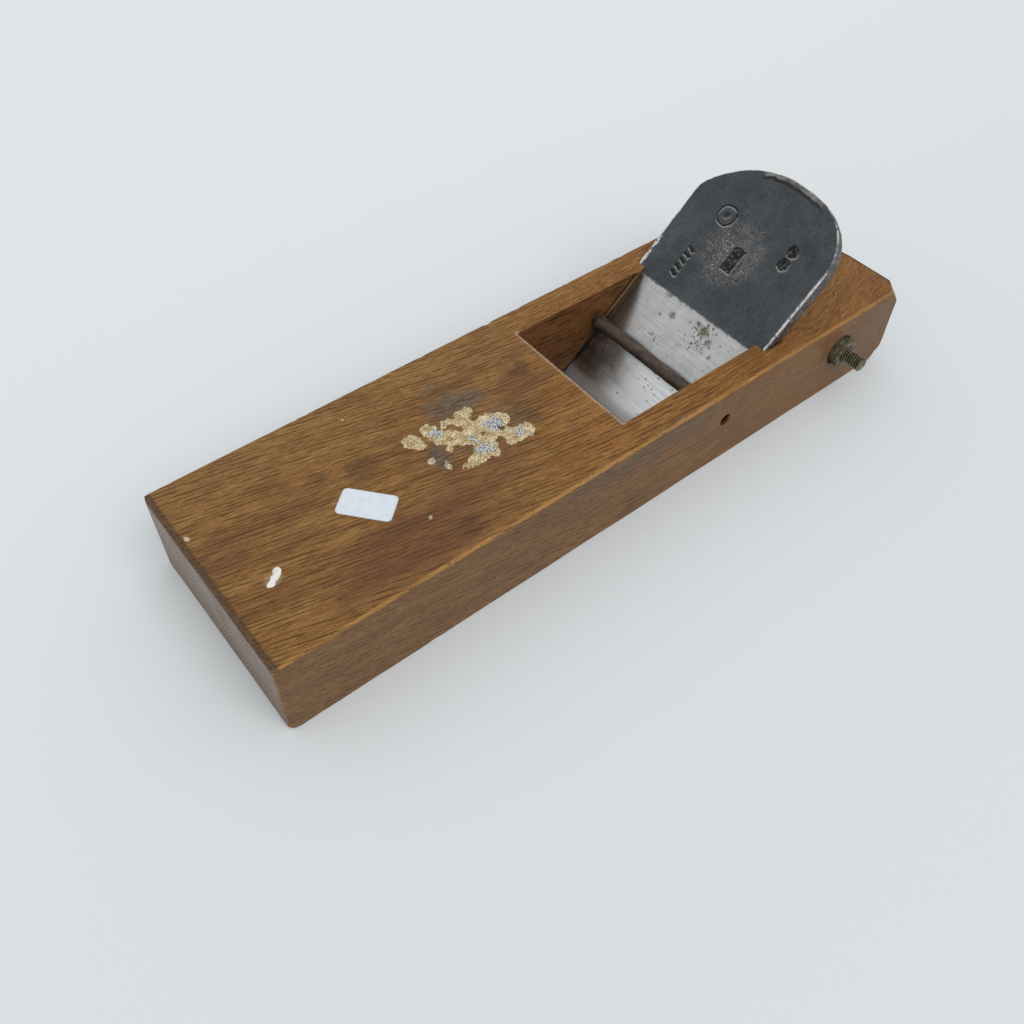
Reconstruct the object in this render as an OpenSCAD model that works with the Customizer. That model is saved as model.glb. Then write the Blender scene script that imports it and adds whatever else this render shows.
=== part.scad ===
// Pull plane: a hardwood block with one tapered iron wedged in side grooves, a cross pin
// over the throat and a clamping bolt through the heel. Millimetres.
// Origin: centre of the sole. +X runs from the toe to the heel, +Z is up.

/* [Block] */
// Length from toe to heel
block_l = 271; // [260:1:300]
// Width of the block
block_w = 80; // [78:1:90]
// Height from the sole to the top face
block_h = 34; // [33:1:38]
// Worn bevel along the long top edges
edge_bevel = 1; // [0.5:0.1:2]
// Bevel on the toe's upright corner on the nut's side
near_toe_bevel = 2.6; // [1:0.2:5]
// Bevel on the toe's upright corner on the far side
far_toe_bevel = 0.8; // [0.4:0.2:5]
// Bevel along the bottom edge of the heel
heel_foot_bevel = 5; // [2:0.5:8]
// Length of the clipped top corners at the heel
heel_clip = 6; // [3:0.5:9]

/* [Bed and throat] */
// Rise of the bed for each unit of run, 8 in 10
bed_slope = 0.8; // [0.75:0.01:0.85]
// Where the bed meets the sole
bed_foot_x = 34.5; // [32:0.5:37]
// Front edge of the throat in the top face
throat_front_x = 3.5; // [0:0.5:8]
// Where the front wall turns steeper, above the mouth
throat_knee_x = 24; // [22:0.5:24.5]
// Height of that turn
throat_knee_z = 2.5; // [1.5:0.5:4]
// Front lip of the mouth
mouth_front_x = 25.4; // [25:0.1:26]
// Width of the throat between the cheeks
throat_w = 56.6; // [50:0.2:58]
// Width across the bottoms of the two blade grooves
groove_w = 66; // [65.6:0.1:67]

/* [Iron] */
// Width of the iron
iron_w = 65; // [63:0.5:65]
// Thickness of the iron where it leaves the top face
iron_thick = 6; // [5:0.1:7]
// Wedge angle between the iron's face and its back
iron_taper = 1.6; // [1:0.1:2]
// How far the head stands out of the top face, along the iron
head_reach = 54.6; // [50:0.2:58]
// Radius of the head's shoulder on the nut's side
near_shoulder_r = 23; // [18:1:24]
// Radius of the head's crown on the nut's side
near_crown_r = 75; // [60:1:80]
// Radius of the head's shoulder on the far side
far_shoulder_r = 11; // [9:1:16]
// Radius of the head's crown on the far side
far_crown_r = 38; // [36:1:42]
// Angle of the cutting bevel
bevel_angle = 28; // [25:1:32]
// Height of the cutting edge above the sole
edge_rise = 0.3; // [0.2:0.1:0.6]
// Thickness of the hard steel layer
steel_thick = 1.5; // [1:0.1:2.5]
// Depth of the steel layer's upper end below the top face, along the iron
steel_drop = 2.6; // [1:0.1:6]

/* [Cross pin] */
// Diameter of the pin
pin_d = 5; // [4:0.5:5.5]
// Distance of the pin from the block's centre
pin_x = 43.3; // [42:0.1:44]
// Height of the pin above the sole
pin_z = 20.2; // [19:0.1:21]
// How far the near end lies below the side face
pin_sink = 7; // [4:0.5:9]
// Wood left behind the pin's blind end
pin_wall = 4; // [3:0.5:8]

/* [Clamping bolt] */
// Distance of the bolt from the block's centre
bolt_x = 104.5; // [95:0.5:115]
// Height of the bolt above the sole
bolt_z = 19.7; // [14:0.1:22]
// Length of the bolt under its head
bolt_l = 90; // [88:1:95]
// Diameter of the shank, as far as the nut's outer face
shank_d = 6; // [5.9:0.01:6]
// Diameter of the worn, free thread beyond the nut
stud_d = 5.66; // [5.6:0.01:5.68]
// Diameter of the hole through the block
bolt_bore_d = 6.4; // [6.2:0.1:7]
// Width across flats of the nut and of the bolt's head
flats = 10; // [9.5:0.1:10.5]
// Height of the nut
nut_h = 4.5; // [4:0.1:5]
// Height of the bolt's head
head_h = 4; // [3.5:0.1:4.5]
// Outer diameter of the washers
washer_d = 11.6; // [11.5:0.1:12]
// Thickness of a washer
washer_t = 1; // [0.8:0.1:1.6]
// Diameter of the recess around each washer
recess_d = 12.4; // [12.4:0.1:14]
// Depth of the recess on the nut's side
nut_recess = 2; // [1.5:0.1:3]
// Depth of the recess on the head's side
head_recess = 2; // [1.5:0.1:3]
// Turn of the nut about its axis
nut_clocking = -10; // [-30:1:30]

/* [Labels] */
// Length of the blank paper label
label_l = 18; // [14:0.5:20]
// Width of the blank paper label
label_w = 10.5; // [8:0.5:12]
// Thickness of the paper
paper_t = 0.12; // [0.08:0.01:0.2]
// Centre of the blank label, along and across the block
label_at = [-82.7, -6];
// Turn of the blank label
label_turn = -49.5; // [-60:0.5:-40]

/* [Hidden] */
$fn = 96;

WOOD = [0.47, 0.30, 0.17];
FORGED = [0.25, 0.27, 0.30];
GROUND = [0.74, 0.75, 0.76];
RUST = [0.34, 0.28, 0.24];
OLD_BRASS = [0.42, 0.40, 0.29];
PAPER = [0.93, 0.94, 0.96];
OLD_PAPER = [0.80, 0.74, 0.58];

over = 10;          // how far a cutting shape runs past what it cuts
bed_gap = 0.03;     // sliding gap between the iron's back and the bed
face_gap = 0.06;    // sliding gap between the iron's face and the grooves' front walls
pin_gap = 0.01;     // gap around the cross pin
thread_gap = 0.03;  // gap between the nut and the shank
washer_gap = 0.2;   // gap between a washer and the shank
end_chamfer = 0.5;  // chamfer on the pin's ends and the bolt's tip
toe_edge = 1.2;     // bevel along the toe's top edge
heel_edge = 0.4;    // bevel along the heel's top edge
label_round = 1.6;  // radius of the label's corners

half_l = block_l / 2;
half_w = block_w / 2;
bed_angle = atan(bed_slope);
face_angle = bed_angle + iron_taper;
far_z = 2 * block_h + over;   // a height above the whole iron

// The bed and the iron's face, seen from the side.
function bed_x(z) = bed_foot_x + z / bed_slope;
face_top_x = bed_x(block_h) - iron_thick / sin(bed_angle);
function face_x(z) = face_top_x - (block_h - z) / tan(face_angle);

bed_shift = bed_gap / sin(bed_angle);
face_shift = face_gap / sin(face_angle);

// Where the cutting bevel runs out on the iron's back.
edge_x = face_x(edge_rise);
bevel_dir = face_angle - bevel_angle;
bevel_l = (bed_x(edge_rise) - bed_shift - edge_x) / (cos(bevel_dir) - sin(bevel_dir) / bed_slope);
bevel_end = [edge_x + bevel_l * cos(bevel_dir), edge_rise + bevel_l * sin(bevel_dir)];

// The bolt's places along Y: its head is on the far side and its nut on the near side.
nut_seat_y = nut_recess - half_w;
nut_y = nut_seat_y - washer_t;
nut_face_y = nut_y - nut_h;
head_seat_y = half_w - head_recess;
head_y = head_seat_y + washer_t;
tip_y = head_y - bolt_l;

// The old label's remains, as outlines of flakes on the top face.
flakes = [
  [[-60, 8], [-56, 9.5], [-52.5, 4], [-55, 1.5], [-58.5, 3.5]],
  [[-54, 10], [-49, 10.5], [-43, 7], [-41, 1], [-46, -2], [-51, 1.5]],
  [[-42, 9], [-36, 8.5], [-33, 3], [-37, -1], [-41, 3.5]],
  [[-50, -4], [-44, -3.5], [-38, -8], [-41, -12], [-46, -11.5]],
  [[-36, 4], [-30, 5], [-26, 0], [-31, -4], [-35.5, -1.5]],
  [[-35, -4], [-30, -5], [-24, -10], [-27, -13], [-33, -9.5]]
];

// A side view outline, (x, z), given its width across the plane.
module across(outline, width) {
  rotate([90, 0, 0]) linear_extrude(height = width, center = true) polygon(outline);
}

// Puts children in the iron's own frame: X up its face, Z out of its face.
module on_face() {
  translate([face_top_x, 0, block_h]) rotate([0, -face_angle, 0]) children();
}

// Puts children on the bolt's axis at a place along Y, with Z towards the nut's side.
module on_bolt(y) {
  translate([bolt_x, y, bolt_z]) rotate([90, 0, 0]) children();
}

// A hexagonal prism with its outer corners turned off.
module hexagon(height) {
  intersection() {
    cylinder(h = height, d = flats / cos(30), $fn = 6);
    rotate_extrude()
      polygon([[0, 0], [flats / cos(30) / 2, 0], [flats / cos(30) / 2, height - 0.5],
               [flats / 2 - 0.2, height], [0, height]]);
  }
}

module washer(y) {
  on_bolt(y) difference() {
    cylinder(h = washer_t, d = washer_d);
    translate([0, 0, -over]) cylinder(h = washer_t + 2 * over, d = shank_d + 2 * washer_gap);
  }
}

module block_blank() {
  intersection() {
    across([[-half_l, 0], [half_l - heel_foot_bevel, 0], [half_l, heel_foot_bevel],
            [half_l, block_h - heel_edge], [half_l - heel_edge, block_h],
            [toe_edge - half_l, block_h], [-half_l, block_h - toe_edge]], block_w + over);
    linear_extrude(height = block_h)
      polygon([[near_toe_bevel - half_l, -half_w], [half_l, -half_w], [half_l, half_w],
               [far_toe_bevel - half_l, half_w], [-half_l, half_w - far_toe_bevel],
               [-half_l, near_toe_bevel - half_w]]);
    rotate([90, 0, 90]) linear_extrude(height = block_l, center = true)
      polygon([[-half_w, 0], [half_w, 0], [half_w, block_h - edge_bevel],
               [half_w - edge_bevel, block_h], [edge_bevel - half_w, block_h],
               [-half_w, block_h - edge_bevel]]);
  }
}

// Cuts one top corner off the heel; side is -1 or 1 across the block.
module heel_corner(side) {
  translate([half_l, side * half_w, block_h])
    rotate([0, acos(1 / sqrt(3)), side * 45])
      translate([-block_h, -block_h, -heel_clip / sqrt(3)])
        cube([2 * block_h, 2 * block_h, block_h]);
}

module throat() {
  steep = (mouth_front_x - throat_knee_x) / throat_knee_z;
  lean = (throat_knee_x - throat_front_x) / (block_h - throat_knee_z);
  across([[throat_front_x - over * lean, block_h + over], [throat_knee_x, throat_knee_z],
          [mouth_front_x + over * steep, -over], [bed_x(-over), -over],
          [bed_x(block_h + over), block_h + over]], throat_w);
}

module grooves() {
  across([[face_x(-over) - face_shift, -over], [bed_x(-over), -over],
          [bed_x(block_h + over), block_h + over],
          [face_x(block_h + over) - face_shift, block_h + over]], groove_w);
}

module pin_hole() {
  translate([pin_x, half_w - pin_wall, pin_z]) rotate([90, 0, 0])
    cylinder(h = block_w, d = pin_d + 2 * pin_gap);
}

module bolt_hole() {
  on_bolt(half_w + over) cylinder(h = block_w + 2 * over, d = bolt_bore_d);
  on_bolt(nut_seat_y) cylinder(h = over, d = recess_d);
  on_bolt(head_seat_y + over) cylinder(h = over, d = recess_d);
}

module dai() {
  color(WOOD) difference() {
    block_blank();
    heel_corner(-1);
    heel_corner(1);
    throat();
    grooves();
    pin_hole();
    bolt_hole();
  }
}

// Half of the iron's outline on its face: a straight side, a shoulder and a crown that meet
// smoothly, with the top at head_reach; side is -1 or 1 across the iron.
module head_side(side, crown_r, shoulder_r) {
  shoulder_y = iron_w / 2 - shoulder_r;
  crown_s = head_reach - crown_r;
  rise = sqrt(pow(crown_r - shoulder_r, 2) - pow(shoulder_y, 2));
  reach = 4;   // how many times the sector runs past the shoulder's centre
  shoulder_s = crown_s + rise;
  translate([-block_l, side < 0 ? -iron_w / 2 : 0]) square([block_l + shoulder_s, iron_w / 2]);
  translate([shoulder_s, side * shoulder_y]) circle(r = shoulder_r);
  intersection() {
    translate([crown_s, 0]) circle(r = crown_r);
    polygon([[crown_s, 0], [crown_s + reach * crown_r, 0],
             [crown_s + reach * rise, side * reach * shoulder_y]]);
  }
}

module head_outline() {
  head_side(-1, near_crown_r, near_shoulder_r);
  head_side(1, far_crown_r, far_shoulder_r);
}

// The whole iron before it is divided into its two layers.
module iron_blank() {
  intersection() {
    across([[edge_x, edge_rise], [face_x(far_z), far_z],
            [bed_x(far_z) - bed_shift, far_z], bevel_end], iron_w);
    on_face() translate([0, 0, -block_h]) linear_extrude(height = 2 * block_h) head_outline();
  }
}

// The space of the steel layer: under the face, from its upper end down past the edge.
module steel_zone() {
  on_face() translate([-block_l - steel_drop, -iron_w, -steel_thick])
    cube([block_l, 2 * iron_w, steel_thick + over]);
}

module blade_iron() {
  color(FORGED) difference() {
    iron_blank();
    steel_zone();
  }
}

module blade_steel() {
  color(GROUND) intersection() {
    iron_blank();
    steel_zone();
  }
}

module cross_pin() {
  pin_l = block_w - pin_wall - pin_sink;
  r = pin_d / 2;
  color(RUST) translate([pin_x, half_w - pin_wall, pin_z]) rotate([90, 0, 0])
    rotate_extrude()
      polygon([[0, 0], [r - end_chamfer, 0], [r, end_chamfer], [r, pin_l - end_chamfer],
               [r - end_chamfer, pin_l], [0, pin_l]]);
}

module clamp_bolt() {
  shank_l = head_y - nut_face_y;
  color(OLD_BRASS) {
    on_bolt(head_y) rotate_extrude()
      polygon([[0, -head_h / 2], [shank_d / 2, -head_h / 2], [shank_d / 2, shank_l],
               [stud_d / 2, shank_l], [stud_d / 2, bolt_l - end_chamfer],
               [stud_d / 2 - end_chamfer, bolt_l], [0, bolt_l]]);
    on_bolt(head_y) mirror([0, 0, 1]) hexagon(head_h);
  }
}

module head_washer() {
  color(OLD_BRASS) washer(head_y);
}

module nut_washer() {
  color(OLD_BRASS) washer(nut_seat_y);
}

module clamp_nut() {
  color(OLD_BRASS) on_bolt(nut_y) rotate([0, 0, nut_clocking]) difference() {
    hexagon(nut_h);
    translate([0, 0, -over]) cylinder(h = nut_h + 2 * over, d = shank_d + 2 * thread_gap);
  }
}

module paper_label() {
  color(PAPER) translate([label_at[0], label_at[1], block_h]) rotate(label_turn)
    linear_extrude(height = paper_t) {
      square([label_l - 2 * label_round, label_w], center = true);
      square([label_l, label_w - 2 * label_round], center = true);
      for (x = [-1, 1], y = [-1, 1])
        translate([x * (label_l / 2 - label_round), y * (label_w / 2 - label_round)])
          circle(r = label_round);
    }
}

module label_residue() {
  color(OLD_PAPER) translate([0, 0, block_h]) linear_extrude(height = paper_t)
    for (flake = flakes) polygon(flake);
}

dai();
blade_iron();
blade_steel();
cross_pin();
clamp_bolt();
head_washer();
nut_washer();
clamp_nut();
paper_label();
label_residue();
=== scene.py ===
"""Looks for the pull plane: a worn hardwood block, its iron, cross pin, clamping bolt and labels.

Meshes are worked out in millimetres in the frame's own axes, and stored in metres. The iron is
worked out in its own directions: s runs up its face from the block's top, d runs into the iron.
"""

import math
import random

import bmesh
import bpy
import numpy as np
from mathutils import Matrix, Vector, kdtree, noise


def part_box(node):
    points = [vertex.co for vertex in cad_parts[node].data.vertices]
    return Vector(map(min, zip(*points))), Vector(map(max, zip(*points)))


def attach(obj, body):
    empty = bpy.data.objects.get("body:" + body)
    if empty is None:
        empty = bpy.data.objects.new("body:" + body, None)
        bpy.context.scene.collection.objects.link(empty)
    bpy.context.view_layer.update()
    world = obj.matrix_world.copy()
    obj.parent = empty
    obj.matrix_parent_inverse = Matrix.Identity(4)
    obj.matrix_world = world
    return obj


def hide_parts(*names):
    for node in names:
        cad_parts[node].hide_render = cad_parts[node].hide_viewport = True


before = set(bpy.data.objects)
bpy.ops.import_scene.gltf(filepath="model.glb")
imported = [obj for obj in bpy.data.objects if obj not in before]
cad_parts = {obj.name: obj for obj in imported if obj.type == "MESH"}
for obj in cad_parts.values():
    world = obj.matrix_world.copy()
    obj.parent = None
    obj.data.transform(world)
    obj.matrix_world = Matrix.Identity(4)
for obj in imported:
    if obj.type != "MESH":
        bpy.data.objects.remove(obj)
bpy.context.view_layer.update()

MM = 0.001
ROUND = 2 * math.pi


def span(node):
    """The lowest and highest corners of a CAD node, in millimetres."""
    low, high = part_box(node)
    return np.array(low) / MM, np.array(high) / MM


def axis_of(low, high):
    """X and Z of the middle line, along Y, of the box between two corners."""
    middle = (low + high) / 2
    return middle[0], middle[2]


# ---- sizes and places

BLOCK_LOW, BLOCK_HIGH = span("dai")
TOP = BLOCK_HIGH[2]
HALF_L = BLOCK_HIGH[0]
HALF_W = BLOCK_HIGH[1]

STEEL_LOW, STEEL_HIGH = span("blade_steel")
BED_ANGLE = math.atan(0.8)  # the bed rises 0.8 for each 1 along the block
IRON_TAPER = math.radians(1.6)
FACE_ANGLE = BED_ANGLE + IRON_TAPER
BEVEL_ANGLE = math.radians(28)
IRON_HALF = STEEL_HIGH[1]
IRON_THICK = 5.97  # where the iron leaves the top face, square to its face
STEEL_THICK = 1.5
FACE_X = STEEL_LOW[0] + (TOP - STEEL_LOW[2]) / math.tan(FACE_ANGLE)
EDGE_S = (STEEL_LOW[2] - TOP) / math.sin(FACE_ANGLE)
STEEL_S = (STEEL_HIGH[2] - TOP) / math.sin(FACE_ANGLE)
HEAD_REACH = 54.6  # how far up its face the iron stands out of the block
# The crown's and the shoulder's radius, by side across the iron.
HEAD_ARCS = {-1: (75.0, 23.0), 1: (38.0, 11.0)}

PIN_LOW, PIN_HIGH = span("cross_pin")
NUT_LOW, NUT_HIGH = span("clamp_nut")
BOLT_LOW, BOLT_HIGH = span("clamp_bolt")
HEX_FLATS = 10.0
HEAD_H = 4.0
THREAD_R = 3.0  # outer radius of the thread under the nut
STUD_R = 2.83  # outer radius of the worn thread beyond it
THREAD_PITCH = 1.0
THREAD_DEPTH = 0.5
THREAD_SLACK = 0.03  # how much wider the nut's bore is than the thread
NUT_TURN = math.radians(-10)
THROAT_FRONT = 3.5  # where the throat starts along the top face
THROAT_HALF = 28.3  # half the throat's width
GROOVE_HALF = 33.0  # half the width over the grooves that hold the iron
TOE_BEVEL = 2.6  # bevel on the toe's near upright corner


# ---- small tools

def fade(value, start, end):
    """0 at start and 1 at end, smooth between them; start may be the larger."""
    t = np.clip((np.asarray(value, float) - start) / (end - start), 0, 1)
    return t * t * (3 - 2 * t)


def cloud(points, size, seed):
    """Smooth noise from about -1 to 1 at each point, with lumps about size wide."""
    points = np.asarray(points, float)
    flat = points.reshape(-1, points.shape[-1])
    size = np.broadcast_to(np.asarray(size, float), (flat.shape[1],))
    shift = 17.3 * seed
    scaled = np.zeros((len(flat), 3))
    scaled[:, :flat.shape[1]] = flat / size
    scaled += (shift, 0.37 * shift, -0.61 * shift)
    values = [noise.noise(p) for p in scaled.tolist()]
    return np.array(values).reshape(points.shape[:-1])


def two_clouds(points, size, seed, small, share):
    """Lumps of two sizes: the second about small wide, and share as strong as the first."""
    return cloud(points, size, seed) + share * cloud(points, small, seed + 1)


def tone(red, green, blue):
    """A colour given as 0 to 255 on screen, turned into the shader's linear values."""
    screen = np.array([red, green, blue]) / 255
    linear = np.where(screen <= 0.04045, screen / 12.92, ((screen + 0.055) / 1.055) ** 2.4)
    return tuple(linear.tolist()) + (1.0,)


def make_piece(name, points, faces, material, body, nodes=(), marks=None, sharp=35):
    """Adds a mesh given in millimetres, with its own vertex values, and gives it its body."""
    mesh = bpy.data.meshes.new(name)
    mesh.from_pydata((np.asarray(points) * MM).tolist(), [], faces)
    work = bmesh.new()
    work.from_mesh(mesh)
    bmesh.ops.recalc_face_normals(work, faces=work.faces)
    work.to_mesh(mesh)
    work.free()
    for label, values in (marks or {}).items():
        layer = mesh.attributes.new(label, "FLOAT", "POINT")
        layer.data.foreach_set("value", np.asarray(values, np.float32))
    mesh.shade_smooth()
    mesh.set_sharp_from_angle(angle=math.radians(sharp))
    mesh.materials.append(material)
    made = bpy.data.objects.new(name, mesh)
    bpy.context.scene.collection.objects.link(made)
    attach(made, body)
    if nodes:
        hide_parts(*nodes)
    return made


def ring_faces(rings, count, closed=False):
    """Quads between rings of count points each; closed joins the last ring to the first."""
    faces = []
    for ring in range(rings if closed else rings - 1):
        low = ring * count
        high = (ring + 1) % rings * count
        for i in range(count):
            after = (i + 1) % count
            faces.append((low + i, low + after, high + after, high + i))
    return faces


def capped_faces(rings, count):
    """Quads between rings of count points each, and one face over each end."""
    last = (rings - 1) * count
    return ring_faces(rings, count) + [list(range(count)), list(range(last, last + count))]


# ---- material building

SPOT_HEART = 0.4  # how much of a spot's half width is at full strength


class Shade:
    """A principled material, with short calls that add nodes to it."""

    def __init__(self, name):
        self.material = bpy.data.materials.new(name)
        self.material.use_nodes = True
        self.tree = self.material.node_tree
        self.shader = self.tree.nodes["Principled BSDF"]
        here = self.node("ShaderNodeTexCoord").outputs["Object"]
        self.place = self.scaled(here, (1 / MM, 1 / MM, 1 / MM))
        self.colour = None

    def node(self, kind, **settings):
        made = self.tree.nodes.new(kind)
        for key, value in settings.items():
            setattr(made, key, value)
        return made

    def put(self, socket, value):
        """Feeds a socket: from another, a vertex mark's name, a number, or a 0 to 255 colour."""
        if isinstance(value, str):
            value = self.node("ShaderNodeAttribute", attribute_name=value).outputs["Fac"]
        if isinstance(value, bpy.types.NodeSocket):
            self.tree.links.new(value, socket)
        elif value is not None:
            socket.default_value = tone(*value) if socket.type == "RGBA" else value

    def maths(self, operation, a, b=None, c=None):
        made = self.node("ShaderNodeMath", operation=operation)
        for socket, value in zip(made.inputs, (a, b, c)):
            self.put(socket, value)
        return made.outputs[0]

    def times(self, value, *factors):
        """The product of values, each a socket, a vertex mark's name or a number."""
        for factor in factors:
            value = self.maths("MULTIPLY", value, factor)
        return value

    def vectors(self, operation, a, b=None):
        made = self.node("ShaderNodeVectorMath", operation=operation)
        self.put(made.inputs[0], a)
        self.put(made.inputs[1], b)
        return made.outputs["Value" if operation == "LENGTH" else "Vector"]

    def scaled(self, vector, factors):
        return self.vectors("MULTIPLY", vector, factors)

    def split(self, vector):
        made = self.node("ShaderNodeSeparateXYZ")
        self.put(made.inputs[0], vector)
        return made.outputs

    def join(self, x, y, z):
        made = self.node("ShaderNodeCombineXYZ")
        for socket, value in zip(made.inputs, (x, y, z)):
            self.put(socket, value)
        return made.outputs[0]

    def noise(self, vector, size, detail=2.0, rough=0.5, output="Fac"):
        """Noise about 0.5, with lumps size millimetres across: one number, or one per axis."""
        made = self.node("ShaderNodeTexNoise")
        self.put(made.inputs["Vector"], self.scaled(vector, tuple(1 / np.broadcast_to(size, 3))))
        made.inputs["Scale"].default_value = 1.0
        made.inputs["Detail"].default_value = detail
        made.inputs["Roughness"].default_value = rough
        return made.outputs[output]

    def lumps(self, size, *settings):
        """Noise at the piece's own places."""
        return self.noise(self.place, size, *settings)

    def fade(self, value, start, end, low=0.0, high=1.0):
        """low at start and high at end, smooth between; start may be the larger."""
        made = self.node("ShaderNodeMapRange", interpolation_type="SMOOTHSTEP")
        for socket, number in zip(made.inputs, (value, start, end, low, high)):
            self.put(socket, number)
        return made.outputs[0]

    def blend(self, amount, a, b, kind="MIX"):
        made = self.node("ShaderNodeMix", data_type="RGBA", blend_type=kind)
        self.put(made.inputs[0], amount)
        self.put(made.inputs[6], a)
        self.put(made.inputs[7], b)
        return made.outputs[2]

    def ramp(self, value, *stops):
        """A colour for each value, from stops that give a value and its colour."""
        made = self.node("ShaderNodeValToRGB")
        self.put(made.inputs[0], value)
        band = made.color_ramp
        while len(band.elements) < len(stops):
            band.elements.new(0.5)
        for element, (at, colour) in zip(band.elements, stops):
            element.position = at
            element.color = tone(*colour)
        return made.outputs[0]

    def coat(self, paint, *amounts):
        """Lays paint over the colour so far, by the product of the amounts."""
        self.colour = self.blend(self.times(*amounts), self.colour, paint)

    def spot(self, vector, centre, size):
        """1 at the heart of an ellipsoid of half widths size, fading out to 0 at its skin."""
        away = self.vectors("SUBTRACT", vector, centre)
        reach = self.vectors("LENGTH", self.scaled(away, tuple(1 / side for side in size)))
        return self.fade(reach, 1.0, SPOT_HEART)

    def bump(self, height, depth):
        """A bump whose height of 1 stands for depth millimetres."""
        made = self.node("ShaderNodeBump")
        made.inputs["Strength"].default_value = 1.0
        made.inputs["Distance"].default_value = depth * MM
        self.put(made.inputs["Height"], height)
        return made.outputs[0]

    def loosened(self, size, detail, reach):
        """The piece's places, each pushed about by up to half of reach."""
        push = self.vectors("SUBTRACT", self.lumps(size, detail, 0.5, "Color"), (0.5, 0.5, 0.5))
        return self.vectors("ADD", self.place, self.scaled(push, (reach, reach, reach)))

    def finish(self, rough, normal=None, metal=None):
        """Joins everything to the shader and returns the material."""
        self.put(self.shader.inputs["Base Color"], self.colour)
        self.put(self.shader.inputs["Roughness"], rough)
        self.put(self.shader.inputs["Normal"], normal)
        self.put(self.shader.inputs["Metallic"], metal)
        return self.material


# ---- camera, light and floor

CAMERA_AT = Vector((-0.17359, -0.18718, 0.27337))
CAMERA_YAW = math.radians(-39.356)
CAMERA_TILT = math.radians(50.674)
CAMERA_ROLL = math.radians(1.2)
CAMERA_LENS = 35.503  # on a sensor 36 mm wide
LOW_LIGHT = 0.64  # the room's light near the floor
HIGH_LIGHT = 0.78  # and overhead
LAMP_AT = Vector((0.1, -2.0, 2.8))
LAMP_ENERGY = 45


def add_camera():
    lens = bpy.data.cameras.new("camera")
    lens.lens = CAMERA_LENS
    lens.sensor_width = 36
    lens.clip_start = 0.01
    camera = bpy.data.objects.new("camera", lens)
    turn = Matrix.Rotation(CAMERA_YAW, 4, "Z")
    tip = Matrix.Rotation(math.radians(90) - CAMERA_TILT, 4, "X")
    roll = Matrix.Rotation(CAMERA_ROLL, 4, "Z")
    camera.matrix_world = Matrix.Translation(CAMERA_AT) @ turn @ tip @ roll
    bpy.context.scene.collection.objects.link(camera)
    bpy.context.scene.camera = camera


def add_world():
    """A bright room, a little brighter overhead than near the floor."""
    world = bpy.data.worlds.new("studio")
    world.use_nodes = True
    tree = world.node_tree
    split = tree.nodes.new("ShaderNodeSeparateXYZ")
    strength = tree.nodes.new("ShaderNodeMapRange")
    back = tree.nodes["Background"]
    tree.links.new(tree.nodes.new("ShaderNodeTexCoord").outputs["Generated"], split.inputs[0])
    tree.links.new(split.outputs[2], strength.inputs[0])
    for socket, value in zip(strength.inputs[1:], (0.0, 1.0, LOW_LIGHT, HIGH_LIGHT)):
        socket.default_value = value
    tree.links.new(strength.outputs[0], back.inputs["Strength"])
    back.inputs["Color"].default_value = (0.962, 0.985, 1.0, 1)
    bpy.context.scene.world = world


def add_lamp():
    lamp = bpy.data.lights.new("softbox", "AREA")
    lamp.shape = "DISK"
    lamp.size = 2.6
    lamp.energy = LAMP_ENERGY
    lamp.color = (1.0, 0.99, 0.98)
    softbox = bpy.data.objects.new("softbox", lamp)
    softbox.location = LAMP_AT
    softbox.visible_glossy = False
    aim = Vector((0, 0, 0)) - softbox.location
    softbox.rotation_euler = aim.to_track_quat("-Z", "Y").to_euler()
    bpy.context.scene.collection.objects.link(softbox)
    bpy.context.scene.view_settings.view_transform = "Standard"


def floor_finish():
    """White paper, with painted light: a little lighter away from the block's nut side."""
    m = Shade("white_paper_floor")
    # Painted light falloff: the paper is laid lighter towards the far side.
    m.colour = m.blend(m.fade(m.split(m.place)[1], -200, 350), (218, 222, 224), (231, 235, 237))
    return m.finish(0.75)


def add_floor():
    mesh = bpy.data.meshes.new("floor")
    work = bmesh.new()
    bmesh.ops.create_grid(work, x_segments=1, y_segments=1, size=3.0)
    work.to_mesh(mesh)
    work.free()
    mesh.materials.append(floor_finish())
    floor = bpy.data.objects.new("floor", mesh)
    bpy.context.scene.collection.objects.link(floor)


# ---- wood

GRAIN_SLOPE = -0.155  # the grain's drift across the block for each unit along it, at the toe
GRAIN_TURN = 0.00142  # half of how fast that drift turns back
GRAIN_TURN_X = -40.0  # where it starts to turn
GRAIN_WAVE = 4.0  # how far slow waves push the grain across the block
GRAIN_CURL = 11.0  # and how far it curls at the heel
LINE_SWAY = 4.0  # how far the pores' lines sway
LINE_RISE = 0.83  # how far a line moves across for each unit up
SIDE_SLOPE = -0.087  # the grain's drift in height

# Old stains: centre, half widths, and how strong each is.
DARK_STAINS = (
    ((-6.5, 13, TOP), (6, 4, 4), 0.5),
    ((-25, 22, TOP), (14, 3, 4), 0.3),
    ((-87, 12, TOP), (2.5, 4, 4), 0.45),
    ((-76, 7, TOP), (8, 6, 4), 0.35),
    ((-62, -32, TOP), (9, 4.5, 4), 0.4),
    ((-20, -2, TOP), (7, 12, 4), 0.25),
    ((109, -HALF_W, 27), (3, 3, 1.6), 0.7),
    ((122, -HALF_W, 26), (2.6, 3, 1.4), 0.6),
    ((95, -HALF_W, 22), (3, 3, 6), 0.5),
)
RED_STAINS = (
    ((-80, -27, TOP), (38, 17, 6), 0.55),
    ((-45, -18, TOP), (26, 10, 6), 0.35),
    ((-128, 4, TOP), (14, 10, 6), 0.3),
    ((-12, 8, TOP), (12, 14, 6), 0.4),
)
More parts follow.
